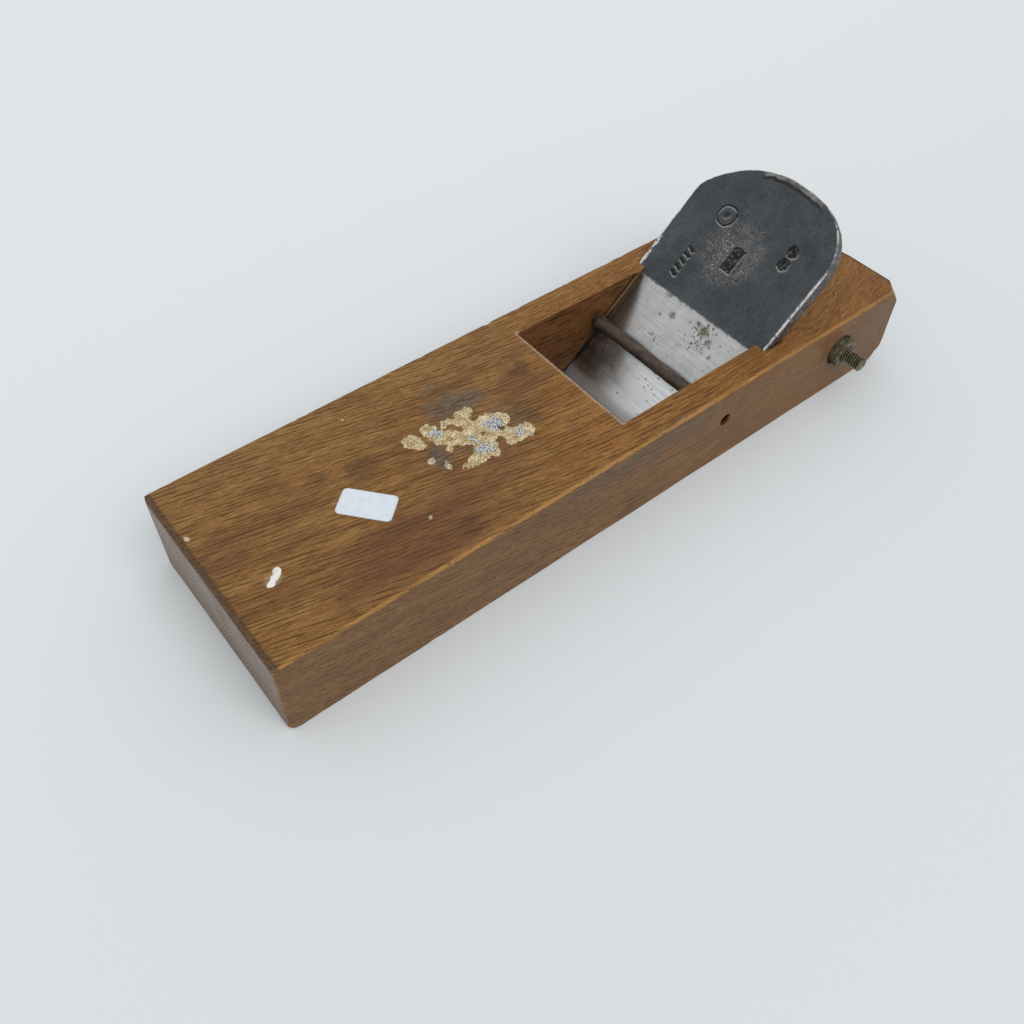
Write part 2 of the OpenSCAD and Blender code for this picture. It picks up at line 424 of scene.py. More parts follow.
GREY_STAINS = (
    ((-36, 13, TOP), (16, 8, 4), 0.85),
    ((-39.5, 24, TOP), (6, 3, 4), 0.6),
    ((-53.8, -3.5, TOP), (6, 8.5, 4), 0.9),
    ((-34, -4, TOP), (22, 13, 4), 0.35),
    ((5, -HALF_W, 29), (50, 4, 7), 0.7),
    ((120, -HALF_W, 18), (30, 4, 19), 0.5),
)
PALE_SPOTS = (
    ((-69, 29.5, TOP), (0.8, 0.8, 2), 0.8),
    ((-70, -22, TOP), (0.9, 0.8, 2), 0.7),
    ((-132.5, 15.8, TOP), (1.0, 1.5, 2), 0.9),
    ((-119.5, -12.8, TOP), (3.6, 3.2, 2), 0.25),
)
ORANGE_STAINS = (
    ((96, -HALF_W, 28), (8, 3, 9), 0.85),
)


def add_spots(m, place, spots, paint):
    for centre, size, strength in spots:
        m.coat(paint, m.spot(place, centre, size), strength)


def grain_place(m, x, y, z):
    """Places along, across and through the grain, which turns and curls towards the heel."""
    turned = m.maths("MAXIMUM", m.maths("SUBTRACT", x, GRAIN_TURN_X), 0)
    turn = m.times(turned, turned, GRAIN_TURN)
    drift = m.maths("MULTIPLY_ADD", x, GRAIN_SLOPE, turn)
    wave = m.lumps((110, 45, 45), 1)
    across = m.maths("MULTIPLY_ADD", wave, GRAIN_WAVE, m.maths("SUBTRACT", y, drift))
    curl = m.times(m.lumps((20, 8, 8), 2), m.fade(x, 45, 115, 0, GRAIN_CURL))
    across = m.maths("ADD", across, curl)
    level = m.maths("SUBTRACT", z, m.times(x, SIDE_SLOPE))
    return m.join(x, across, level)


def thin_lines(m, grain, apart, width):
    """1 on thin lines along the grain, about apart millimetres from each other."""
    _, across, level = m.split(grain)
    place = m.maths("MULTIPLY_ADD", level, LINE_RISE, across)
    sway = m.noise(grain, (90, 5 * apart, 5 * apart), 1)
    place = m.maths("MULTIPLY_ADD", sway, LINE_SWAY, place)
    turn = m.maths("FRACT", m.maths("DIVIDE", place, apart))
    off = m.maths("ABSOLUTE", m.maths("SUBTRACT", turn, 0.5))
    return m.fade(off, width / apart, 0.4 * width / apart)


def wood_pores(m, grain, x):
    """Long thin dark pores, fainter and shorter towards the heel."""
    crowd = m.fade(m.noise(grain, (40, 6, 6), 2), 0.3, 0.7, 0.05, -0.03)
    broken = m.noise(grain, (22, 1.0, 1.0), 1.0, 0.4)
    lengths = m.fade(m.maths("SUBTRACT", broken, crowd), 0.45, 0.54)
    line = m.times(thin_lines(m, grain, 1.6, 0.26), lengths, m.fade(x, 20, 90, 1.0, 0.5))
    pieces = m.fade(m.noise(grain, (8, 0.8, 0.8), 1.0, 0.4), 0.47, 0.56)
    dash = m.times(thin_lines(m, grain, 0.8, 0.2), pieces, 0.38)
    return m.maths("MAXIMUM", line, dash)


def bare_wood(m, grain, x, y):
    """The wood's own colour, from broad streaks down to fine fibres; returns fibres and pores."""
    streak = m.noise(grain, (95, 4, 4), 5, 0.62)
    m.colour = m.ramp(streak, (0.3, (128, 89, 48)), (0.5, (155, 112, 62)), (0.7, (174, 132, 76)))
    # Paler towards the far side, more orange towards the heel, and darker in clouds.
    m.coat((170, 130, 78), m.fade(y, 5, 38, 0, 0.4))
    m.coat((166, 110, 48), m.fade(m.maths("ADD", x, m.times(y, -0.5)), -40, 20, 0, 0.45))
    cloudy = m.lumps((17, 12, 12), 3, 0.6)
    m.coat((112, 70, 38), m.fade(cloudy, 0.5, 0.72, 0, 0.35))
    fibre = m.noise(grain, (40, 0.36, 0.36), 3, 0.65)
    threads = m.ramp(fibre, (0.36, (164, 150, 132)), (0.62, (255, 255, 250)))
    m.colour = m.blend(0.7, m.colour, threads, "MULTIPLY")
    grit = m.noise(grain, (1.1, 0.42, 0.42), 2, 0.7)
    grains = m.ramp(grit, (0.34, (188, 180, 168)), (0.62, (255, 255, 255)))
    m.colour = m.blend(0.5, m.colour, grains, "MULTIPLY")
    pore = wood_pores(m, grain, x)
    m.coat((58, 34, 18), pore, 0.7)
    return fibre, pore


def stain_wood(m, fibre):
    """Old grime and stains; grease lets the pale fibres show."""
    loose = m.loosened(7, 4, 10)
    grime = m.lumps(38, 4, 0.6)
    m.coat((90, 60, 38), m.fade(grime, 0.52, 0.72, 0, 0.3))
    add_spots(m, loose, RED_STAINS, (94, 58, 40))
    add_spots(m, loose, DARK_STAINS, (64, 44, 32))
    greasy = m.blend(m.fade(fibre, 0.38, 0.62), (70, 57, 46), (118, 103, 84))
    add_spots(m, loose, GREY_STAINS, greasy)
    add_spots(m, loose, ORANGE_STAINS, (124, 74, 40))


def paint_throat_shadows(m, x, z, seat):
    """The cheeks beside the iron: a pale ledge above the pin with a painted shadow in the gap beyond
    it, and a painted shadow along the iron under the pin.
    """
    ahead = m.maths("MULTIPLY_ADD", z, math.cos(FACE_ANGLE), FACE_X * math.sin(FACE_ANGLE))
    ahead = m.maths("SUBTRACT", ahead, m.times(x, math.sin(FACE_ANGLE)))
    ahead = m.maths("SUBTRACT", ahead, TOP * math.cos(FACE_ANGLE))
    above = m.times(m.fade(z, PIN_LOW[2] - 1, PIN_HIGH[2]), seat)
    below = m.times(m.fade(z, PIN_HIGH[2], PIN_LOW[2] - 1), seat)
    m.coat((140, 106, 68), m.fade(ahead, 2.1, 1.7), above, 0.7)
    # Painted shadow: a dark line in the gap beyond the pale ledge.
    m.coat((34, 21, 13), m.fade(ahead, 1.9, 2.4), m.fade(ahead, 3.9, 2.9), above, 0.85)
    # Painted shadow along the iron under the pin.
    m.coat((26, 17, 12), m.fade(ahead, 2.2, 0.8, 0, 0.9), below)


def wear_wood_and_paint_light(m):
    """Rubbed, knocked and soiled edges, a painted highlight along the mouth's edge, and painted shade
    in the holes.
    """
    patchy = m.fade(m.lumps((2, 2.5, 2), 4, 0.7), 0.3, 0.55, 0.25, 0.85)
    # Painted highlight: a pale, patchy line along the mouth's rounded front edge.
    m.coat((178, 160, 140), "mouth", patchy)
    broken = m.lumps((2.2, 0.8, 0.8), 4, 0.65)
    worn = m.fade(m.maths("MULTIPLY_ADD", broken, 0.9, "arris"), 0.95, 1.35)
    m.coat((170, 126, 70), worn, m.fade(m.lumps((16, 9, 9), 3), 0.34, 0.6, 0.3, 0.8))
    nicks = m.fade(m.lumps((1.6, 0.8, 0.8), 3), 0.56, 0.66)
    m.coat((84, 54, 30), nicks, m.fade("arris", 0.1, 0.8, 0, 0.6))
    m.coat((70, 54, 42), "soiled", m.fade(broken, 0.3, 0.6, 0.45, 0.85))
    # Painted shade that makes the holes near black.
    m.coat((26, 16, 10), "painted_hole_shade", 0.85)
    loose = m.loosened(1.5, 2, 1.5)
    add_spots(m, loose, PALE_SPOTS, (206, 190, 162))


def wood():
    m = Shade("oiled_oak")
    x, y, z = m.split(m.place)
    fibre, pore = bare_wood(m, grain_place(m, x, y, z), x, y)
    stain_wood(m, fibre)

    # Greyer sides, dusty end grain, and brown, mottled walls in the throat and holes, laid darker as
    # painted shade.
    facing = m.split(m.node("ShaderNodeNewGeometry").outputs["True Normal"])
    side = m.fade(m.maths("ABSOLUTE", facing[1]), 0.6, 0.9)
    end = m.fade(m.maths("ABSOLUTE", facing[0]), 0.85, 0.97)
    outside = m.maths("SUBTRACT", 1.0, "inside")
    m.coat((102, 80, 60), side, outside, 0.5)
    # The end grain's colour runs darker towards the bottom.
    end_grain_tone = m.blend(m.fade(z, 26, 4), (150, 138, 129), (126, 113, 102))
    m.coat(end_grain_tone, end, outside, m.fade(m.lumps((3, 9, 9), 4), 0.3, 0.7, 0.6, 0.9))
    # The throat's and holes' walls: partly their own redder colour, partly painted shade in the
    # recess.
    m.coat((88, 50, 24), "inside", 0.5)
    murky = m.lumps((9, 3, 3), 5, 0.68)
    m.coat((44, 25, 14), "inside", m.fade(murky, 0.5, 0.64, 0, 0.55))
    m.coat((128, 84, 50), "inside", m.fade(murky, 0.46, 0.34, 0, 0.4))
    paint_throat_shadows(m, x, z, m.times(side, "inside"))
    wear_wood_and_paint_light(m)

    height = m.maths("MULTIPLY_ADD", pore, -1.0, m.times(fibre, 0.5))
    rough = m.fade(pore, 0, 1, 0.42, 0.7)
    rough = m.maths("MULTIPLY_ADD", m.lumps(14, 3), 0.16, rough)
    m.shader.inputs["Specular IOR Level"].default_value = 0.25
    return m.finish(rough, m.bump(height, 0.13))


STEP_ALONG = 1.5  # between the block's cuts along its length
STEP_ACROSS = 2.5  # and across it and up it
CUT_GAPS = (0.0, 0.35, 0.8, 1.5, 2.4)  # from an edge to the cuts beside it


def cut_places(low, high, step, edges):
    """Even cuts from low to high, with closer ones beside each of the edges."""
    places = {round(edge + side * gap, 3) for edge in edges for gap in CUT_GAPS for side in (-1, 1)}
    for place in np.arange(low + step, high, step):
        if all(abs(place - edge) > CUT_GAPS[-1] for edge in edges):
            places.add(round(float(place), 3))
    return sorted(place for place in places if low < place < high)


def cut_block():
    """The CAD block, cut into small faces along the three axes."""
    work = bmesh.new()
    work.from_mesh(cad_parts["dai"].data)
    bmesh.ops.scale(work, vec=(1 / MM, 1 / MM, 1 / MM), verts=work.verts)
    bmesh.ops.remove_doubles(work, verts=work.verts, dist=0.001)
    bmesh.ops.dissolve_limit(work, angle_limit=0.002, verts=work.verts, edges=work.edges)
    across = (-HALF_W, -GROOVE_HALF, -THROAT_HALF, THROAT_HALF, GROOVE_HALF, HALF_W)
    cuts = (
        ((1, 0, 0), cut_places(-HALF_L, HALF_L, STEP_ALONG, (-HALF_L, THROAT_FRONT, HALF_L))),
        ((0, 1, 0), cut_places(-HALF_W, HALF_W, STEP_ACROSS, across)),
        ((0, 0, 1), cut_places(0, TOP, STEP_ACROSS, (0, TOP))),
    )
    for normal, places in cuts:
        for place in places:
            everything = work.verts[:] + work.edges[:] + work.faces[:]
            bmesh.ops.bisect_plane(work, geom=everything, dist=0.0005,
                                   plane_co=Vector(normal) * place, plane_no=normal)
    return work


def search_tree(points):
    tree = kdtree.KDTree(len(points))
    for i, point in enumerate(points):
        tree.insert(point, i)
    tree.balance()
    return tree


def closeness(places, to):
    """Each place's distance to the nearest of the points in to."""
    tree = search_tree(to)
    return np.array([tree.find(place)[2] for place in places])


def smooth_points(places, pairs, weight, turns):
    """Moves each place towards the middle of its neighbours, by its own weight."""
    count = np.zeros(len(places))
    np.add.at(count, pairs[:, 0], 1)
    np.add.at(count, pairs[:, 1], 1)
    for _ in range(turns):
        total = np.zeros_like(places)
        np.add.at(total, pairs[:, 0], places[pairs[:, 1]])
        np.add.at(total, pairs[:, 1], places[pairs[:, 0]])
        middle = total / count[:, None]
        places = places + weight[:, None] * (middle - places)
    return places


def round_upright(places):
    """Bulges the bevel on the toe's near upright corner into a soft round, fuller at its foot."""
    in_x = places[:, 0] + HALF_L
    in_y = places[:, 1] + HALF_W
    on_bevel = (np.abs(in_x + in_y - TOE_BEVEL) < 0.05) & (in_x > -0.01) & (in_y > -0.01)
    across = np.clip((in_x - in_y) / TOE_BEVEL, -1, 1)
    full = (0.29 + 0.2 * fade(places[:, 2], 12, 0)) * fade(places[:, 2], TOP - 1, TOP - 5)
    push = on_bevel * full * TOE_BEVEL * (1 - across ** 2) / math.sqrt(2)
    return places - np.column_stack([push, push, np.zeros(len(places))])


def random_nicks(rng):
    """Small knocks along the four long arrises and the toe's and heel's top edges."""
    nicks = []
    for side in (-1, 1):
        for z, count, widest, depths in ((TOP, 34, 2.6, (0.1, 0.35)), (0, 7, 1.8, (0.06, 0.18))):
            for _ in range(count):
                centre = (rng.uniform(-HALF_L, HALF_L), side * HALF_W, z)
                nicks.append((centre, rng.uniform(0.9, widest), rng.uniform(*depths)))
        for _ in range(9):
            centre = (side * HALF_L, rng.uniform(-HALF_W, HALF_W), TOP)
            nicks.append((centre, rng.uniform(0.9, 2.4), rng.uniform(0.1, 0.45)))
    return nicks


# Knocks that stand out: centre, radius and depth.
HAND_NICKS = (
    ((-HALF_L, -HALF_W + 3, TOP), 3.2, 0.7),
    ((-HALF_L, -HALF_W + 16, TOP), 2.2, 0.5),
    ((-HALF_L, HALF_W - 3, TOP), 2.8, 0.5),
    ((109, -HALF_W, 27), 2.2, 0.35),
    ((122, -HALF_W, 26), 2.0, 0.3),
    ((63, THROAT_HALF, TOP), 2.5, 0.6),
)


def press_nicks(places, nicks):
    """Pushes the block's skin in towards its middle line at each nick."""
    tree = search_tree(places)
    moved = places.copy()
    for centre, radius, depth in nicks:
        inward = Vector((0.0, -centre[1], TOP / 2 - centre[2]))
        if abs(centre[0]) >= HALF_L:
            inward = Vector((-centre[0] / 4, 0.0, TOP / 2 - centre[2]))
        inward.normalize()
        for place, index, away in tree.find_range(centre, radius):
            push = depth * (1 - (away / radius) ** 2) ** 2
            moved[index] += np.array(inward) * push
    return moved


CRISP = 0.35  # edges that turn by more than this, in radians, are arrises
HOLE_AXES = (axis_of(PIN_LOW, PIN_HIGH), axis_of(BOLT_LOW, BOLT_HIGH))


def worn_places(places, pairs, away, hollow):
    """The block's points after wear: arrises rubbed, two corners rounded, knocks pressed in."""
    hole = np.zeros(len(places), bool)
    for x, z in HOLE_AXES:
        hole |= np.hypot(places[:, 0] - x, places[:, 2] - z) < 9
    hole &= np.abs(places[:, 1]) > HALF_W - 5
    lumps = fade(cloud(places, (16, 9, 9), 3), -0.5, 0.5)
    weight = fade(away, 2.6, 0.2) * (0.18 + 0.34 * lumps)
    weight *= np.where(hole, 0.15, 1.0) * np.where(hollow, 0.5, 1.0)
    worn = smooth_points(round_upright(places), pairs, weight, 7)
    for corner in ((-HALF_L, -HALF_W, 0), (-HALF_L, HALF_W, TOP)):
        rounded = 0.6 * fade(np.linalg.norm(places - corner, axis=1), 4.5, 2.0)
        worn = smooth_points(worn, pairs, rounded, 6)
    worn = press_nicks(worn, random_nicks(random.Random(11)) + list(HAND_NICKS))
    return np.clip(worn, BLOCK_LOW, BLOCK_HIGH)


def block_marks(places, arris_points, hollow):
    """Values from 0 to 1 that say where the wood is rubbed, soiled or hidden, and where the holes get
    painted shade.
    """
    x, y, z = np.array(arris_points).T
    edges = {
        "far": (y > HALF_W - 1.4) & (z > TOP - 1.4),
        "throat": (np.abs(y) < HALF_W - 5) & (z > TOP - 0.5) & (np.abs(x) < HALF_L - 9),
        "ends": (np.abs(x) > HALF_L - 1.7) & (z > TOP - 1.7),
        "uprights": (np.abs(x) > HALF_L - 3) & (np.abs(y) > HALF_W - 3),
        "mouth": (np.abs(x - THROAT_FRONT) < 0.6) & (np.abs(y) < 29) & (z > TOP - 0.5),
    }
    near_to = {name: closeness(places, [arris_points[i] for i in np.flatnonzero(chosen)])
               for name, chosen in edges.items()}
    ridge = np.hypot(places[:, 1] + HALF_W - 0.5, places[:, 2] - TOP + 0.5)
    arris = np.maximum(fade(ridge, 0.85, 0.45), 0.6 * fade(near_to["far"], 0.9, 0.1))
    arris = np.maximum(arris, 0.75 * fade(near_to["throat"], 0.8, 0.1))
    arris = np.maximum(arris, 0.55 * fade(near_to["uprights"], 0.9, 0.1))
    # Painted shade: near black inside the pin's and the bolt's holes.
    painted_hole_shade = np.zeros(len(places))
    for x, z in HOLE_AXES:
        away = np.hypot(places[:, 0] - x, places[:, 2] - z)
        painted_hole_shade = np.maximum(painted_hole_shade, (away < 7) * fade(HALF_W - np.abs(places[:, 1]), 0.3, 1.2))
    painted_hole_shade *= np.abs(places[:, 1]) > 32.5
    return {"arris": arris, "inside": hollow.astype(float), "painted_hole_shade": painted_hole_shade,
            "mouth": fade(near_to["mouth"], 0.95, 0.3),
            "soiled": fade(near_to["ends"], 1.4, 0.3)}


def add_block():
    work = cut_block()
    work.normal_update()
    crisp = [e for e in work.edges if len(e.link_faces) == 2 and e.calc_face_angle() > CRISP]
    arris_points = [v.co.copy() for e in crisp if e.is_convex for v in e.verts]
    for index, vert in enumerate(work.verts):
        vert.index = index
    places = np.array([v.co[:] for v in work.verts])
    pairs = np.array([[v.index for v in e.verts] for e in work.edges])
    faces = [[v.index for v in f.verts] for f in work.faces]
    work.free()
    hollow = (places[:, 2] < TOP - 0.6) & (places[:, 2] > 0.6)
    hollow &= (np.abs(places[:, 1]) < HALF_W - 1.2) & (np.abs(places[:, 0]) < HALF_L - 3.2)
    worn = worn_places(places, pairs, closeness(places, arris_points), hollow)
    marks = block_marks(places, arris_points, hollow)
    make_piece("worn_block", worn, faces, wood(), "stock", ["dai"], marks, 28)


# ---- iron

def iron_point(s, y, d):
    """Points of the iron, from its own directions to the frame's."""
    up = (math.cos(FACE_ANGLE), math.sin(FACE_ANGLE))
    s, y, d = np.broadcast_arrays(s, y, d)
    x = FACE_X + s * up[0] + d * up[1]
    z = TOP + s * up[1] - d * up[0]
    return np.stack([x, y, z], -1)


def outline_s(y, inset):
    """How far up its face the iron reaches at y, drawn in by inset all round."""
    y = np.asarray(y, float)
    reach = np.zeros_like(y + inset)
    for side, (crown_r, shoulder_r) in HEAD_ARCS.items():
        shoulder_y = IRON_HALF - shoulder_r
        crown_s = HEAD_REACH - crown_r
        rise = math.sqrt((crown_r - shoulder_r) ** 2 - shoulder_y ** 2)
        meet = shoulder_y * (crown_r - inset) / (crown_r - shoulder_r)
        wide = np.abs(y)
        crown = crown_s + np.sqrt(np.maximum((crown_r - inset) ** 2 - wide ** 2, 0))
        round_part = (shoulder_r - inset) ** 2 - (wide - shoulder_y) ** 2
        shoulder = crown_s + rise + np.sqrt(np.maximum(round_part, 0))
        reach = np.where(np.sign(y + 1e-9) == side, np.where(wide < meet, crown, shoulder), reach)
    return reach


def back_d(s):
    """Depth of the iron's back under its face: the cutting bevel, then the long taper."""
    return np.minimum((s - EDGE_S) * math.tan(BEVEL_ANGLE), IRON_THICK + s * math.tan(IRON_TAPER))


def rim(rows, columns):
    """Row and column of each point round a grid's border, in order."""
    up = [(i, 0) for i in range(rows)]
    over = [(rows - 1, j) for j in range(1, columns)]
    down = [(i, columns - 1) for i in range(rows - 2, -1, -1)]
    back = [(0, j) for j in range(columns - 2, 0, -1)]
    return np.array(up + over + down + back)


def grid_faces(rows, columns, first):
    faces = []
    for i in range(rows - 1):
        for j in range(columns - 1):
            corner = first + i * columns + j
            faces.append((corner, corner + 1, corner + columns + 1, corner + columns))
    return faces


# Layers through the iron's thickness: how deep each is, and how far it is drawn in.
LAYERS = ((0.0, 0.42), (0.03, 0.16), (0.08, 0.04), (0.18, 0.0), (0.3, 0.0), (0.42, 0.0),
          (0.55, 0.0), (0.68, 0.0), (0.82, 0.0), (0.92, 0.05), (0.97, 0.18), (1.0, 0.45))


HEAD_ROWS = 172  # rows of points up the head
LOW_ROWS = 26  # and up the iron behind the steel
LOW_SHIFT = 100  # taken off the latter, to tell them from the head's
IRON_COLUMNS = 190
STEEL_ROWS = 150
STEEL_COLUMNS = 170


def layered_plate(rows, columns, place, top_d, low_d, rough):
    """A closed plate of two faces and a wall of layers between them.

    place(rows, columns, inset) gives s and y; top_d(s, y) and low_d(s) give the faces' depths.
    It returns s, y and d of every point, and the faces.
    """
    grid_u, grid_c = np.meshgrid(rows, columns, indexing="ij")
    border = rim(len(rows), len(columns))
    rim_u = grid_u[border[:, 0], border[:, 1]]
    rim_c = grid_c[border[:, 0], border[:, 1]]
    parts = []
    for deep, inset in LAYERS:
        whole = deep in (0.0, 1.0)
        u, c = (grid_u, grid_c) if whole else (rim_u, rim_c)
        s, y = place(u, c, np.full(u.shape, inset))
        upper = top_d(s, y)
        d = upper + (low_d(s) - upper) * deep
        lumps = two_clouds(np.stack([s, y, d], -1), 2.2, 5, 0.9, 0.6)
        extra = rough * np.clip(0.5 + 0.5 * lumps, 0, 1.3)
        s, y = place(u, c, inset + extra)
        parts.append((s.ravel(), y.ravel(), d.ravel()))
    count = grid_u.size
    front, back = parts[0], parts[-1]
    points = [front, back] + parts[1:-1]
    s, y, d = (np.concatenate([part[k] for part in points]) for k in range(3))
    faces = grid_faces(len(rows), len(columns), 0) + grid_faces(len(rows), len(columns), count)
    round_front = border[:, 0] * len(columns) + border[:, 1]
    rings = [round_front]
    for k in range(len(LAYERS) - 2):
        rings.append(2 * count + k * len(border) + np.arange(len(border)))
    rings.append(round_front + count)
    for low, high in zip(rings, rings[1:]):
        after_low = np.roll(low, -1)
        after_high = np.roll(high, -1)
        faces.extend(np.stack([low, after_low, after_high, high], -1).tolist())
    return s, y, d, faces


def even_columns(count):
    """Places across the iron from -1 to 1, closer together towards its sides."""
    t = np.linspace(-1, 1, count)
    return t * (1 + 0.35 * (1 - t * t))


def box_mask(s, y, centre, half):
    """1 inside a box on the iron's face, with soft borders."""
    far = np.maximum(np.abs(s - centre[0]) - half[0], np.abs(y - centre[1]) - half[1])
    return fade(far, 0.25, -0.25)


def bar_mask(s, y, centre, length, width, turn):
    """1 along a short bar at an angle on the iron's face."""
    along = (s - centre[0]) * math.cos(turn) + (y - centre[1]) * math.sin(turn)
    beside = (y - centre[1]) * math.cos(turn) - (s - centre[0]) * math.sin(turn)
    far = np.maximum(np.abs(along) - length / 2, np.abs(beside) - width / 2)
    return fade(far, 0.25, -0.2)


# Plain shapes punched in the head: centre up its face and across it.
RING_AT = (31.7, 14.2)
BLOCK_AT = (19.5, 0.4)
LOBES_AT = (30.6, -16.8)
BARS_AT = (3.8, 17.4)  # the first of five
BAR_STEP = 2.7
PUNCH_DEPTH = 0.4


def punch_marks(s, y):
    """Depth of the plain punched shapes in the head, uneven as if struck by hand."""
    both = np.stack([s, y], -1)
    s = s + 0.35 * cloud(both, 1.7, 15)
    y = y + 0.35 * cloud(both, 1.7, 16)
    ring = np.hypot(s - RING_AT[0], y - RING_AT[1])
    depth = 0.34 * fade(np.abs(ring - 3.9), 0.6, 0.15) + 0.22 * fade(ring, 1.7, 1.1)
    depth += PUNCH_DEPTH * box_mask(s, y, BLOCK_AT, (5.0, 2.5))
    for step in (-2.6, 2.6):
        lobe = np.hypot((s - LOBES_AT[0] - step) / 2.5, (y - LOBES_AT[1]) / 2.3)
        depth = np.maximum(depth, PUNCH_DEPTH * fade(lobe, 1.1, 0.9))
    depth *= 0.65 + 0.35 * fade(cloud(both, 0.9, 17) + 0.6 * cloud(both, 2.2, 20), -0.7, 0.3)
    for bar in range(5):
        centre = (BARS_AT[0] + BAR_STEP * bar, BARS_AT[1])
        depth += 0.3 * bar_mask(s, y, centre, 3.4, 1.3, 1.25)
    return depth


def scratch_marks(s, y, rng, count, region, length, depth):
    """Depth of fine straight scratches thrown over a region: s and y, from and to."""
    total = np.zeros_like(s)
    for _ in range(count):
        centre = (rng.uniform(*region[0]), rng.uniform(*region[1]))
        turn = rng.uniform(0, math.pi)
        total = np.maximum(total, bar_mask(s, y, centre, rng.uniform(*length), 0.12, turn) * depth)
    return total


def pit_marks(s, y, pits):
    """How deep in a pit each point is, from 0 to 1."""
    total = np.zeros_like(s)
    for pit_s, pit_y, radius in pits:
        total = np.maximum(total, fade(np.hypot(s - pit_s, y - pit_y), radius, radius * 0.35))
    return total


def scattered(rng, count, region, radii):
    """Random pits over a region, given as s from, s to, y from and y to."""
    return [(rng.uniform(region[0], region[1]), rng.uniform(region[2], region[3]),
             rng.uniform(*radii)) for _ in range(count)]


def clustered(rng, count, centre, spread, radii):
    """Random pits that crowd towards a centre."""
    return [(rng.gauss(centre[0], spread[0]), rng.gauss(centre[1], spread[1]),
             rng.uniform(*radii)) for _ in range(count)]


def head_relief(s, y):
    """The forged face's depth under the flat one, and the masks that go with it."""
    rng = random.Random(4)
    both = np.stack([s, y], -1)
    depth = 0.05 + 0.07 * cloud(both, 9, 1) + 0.04 * cloud(both, 2.6, 2)
    marks = punch_marks(s, y)
    # Painted highlight on the punch marks' walls that face the light.
    lit = np.clip((punch_marks(s + 0.4, y + 0.3) - marks) / 0.25, 0, 1)
    tiny = pit_marks(s, y, scattered(rng, 190, (-2, 52, -31, 31), (0.3, 0.75)))
    scuffed = fade(np.hypot((s - 21) / 16, (y - 2.5) / 16), 1.0, 0.3)
    scuffed *= fade(two_clouds(both, 4.5, 18, 1.8, 0.5), -0.75, 0.35)
    rubbed = fade(cloud(both, 0.9, 8), 0.0, 0.4) * scuffed
    scratch = scratch_marks(s, y, rng, 16, ((14, 34), (-6, 16)), (0.8, 3.0), 1.0)
    below_top = outline_s(y, 0.0) - s
    struck = fade(np.abs(y + 1.5), 14.5, 12.0)
    ragged = below_top + 0.6 * cloud(both, 3.0, 4) + 0.3 * cloud(both, 1.0, 5)
    lip = fade(ragged, 2.3, 1.9) * struck
    fold = fade(np.abs(ragged - 2.75), 0.85, 0.25) * struck
    depth = depth + marks + 0.12 * tiny + 0.06 * rubbed + 0.05 * scratch
    depth = depth + 0.4 * fold + lip * (0.15 + 0.2 * cloud(both, 1.6, 9))
    return np.maximum(depth, 0.0), {"mark": marks, "lit": lit, "pit": tiny, "scuffed": scuffed,
                                    "scratch": scratch, "lip": lip, "fold": fold}


def head_wear(s, y, d):
    """How brightly the iron's arrises are rubbed, from 0 to 1."""
    to_side = IRON_HALF - np.abs(y)
    to_top = outline_s(y, 0.0) - s
    near_rim = np.minimum(to_side, to_top)
    low = back_d(s)
    near_face = np.minimum(d, np.maximum(low - d, 0) + 0.8)
    away = np.hypot(np.maximum(near_rim, 0), np.maximum(near_face, 0))
    lumps = two_clouds(np.stack([s, y, d], -1), 1.8, 12, 0.7, 0.5)
    width = 0.62 + 1.0 * fade(y, 24, 30) * fade(s, 15, 4) + 0.3 * fade(np.abs(y), 20, 28)
    return fade(away + 0.3 * lumps, width, width * 0.4)


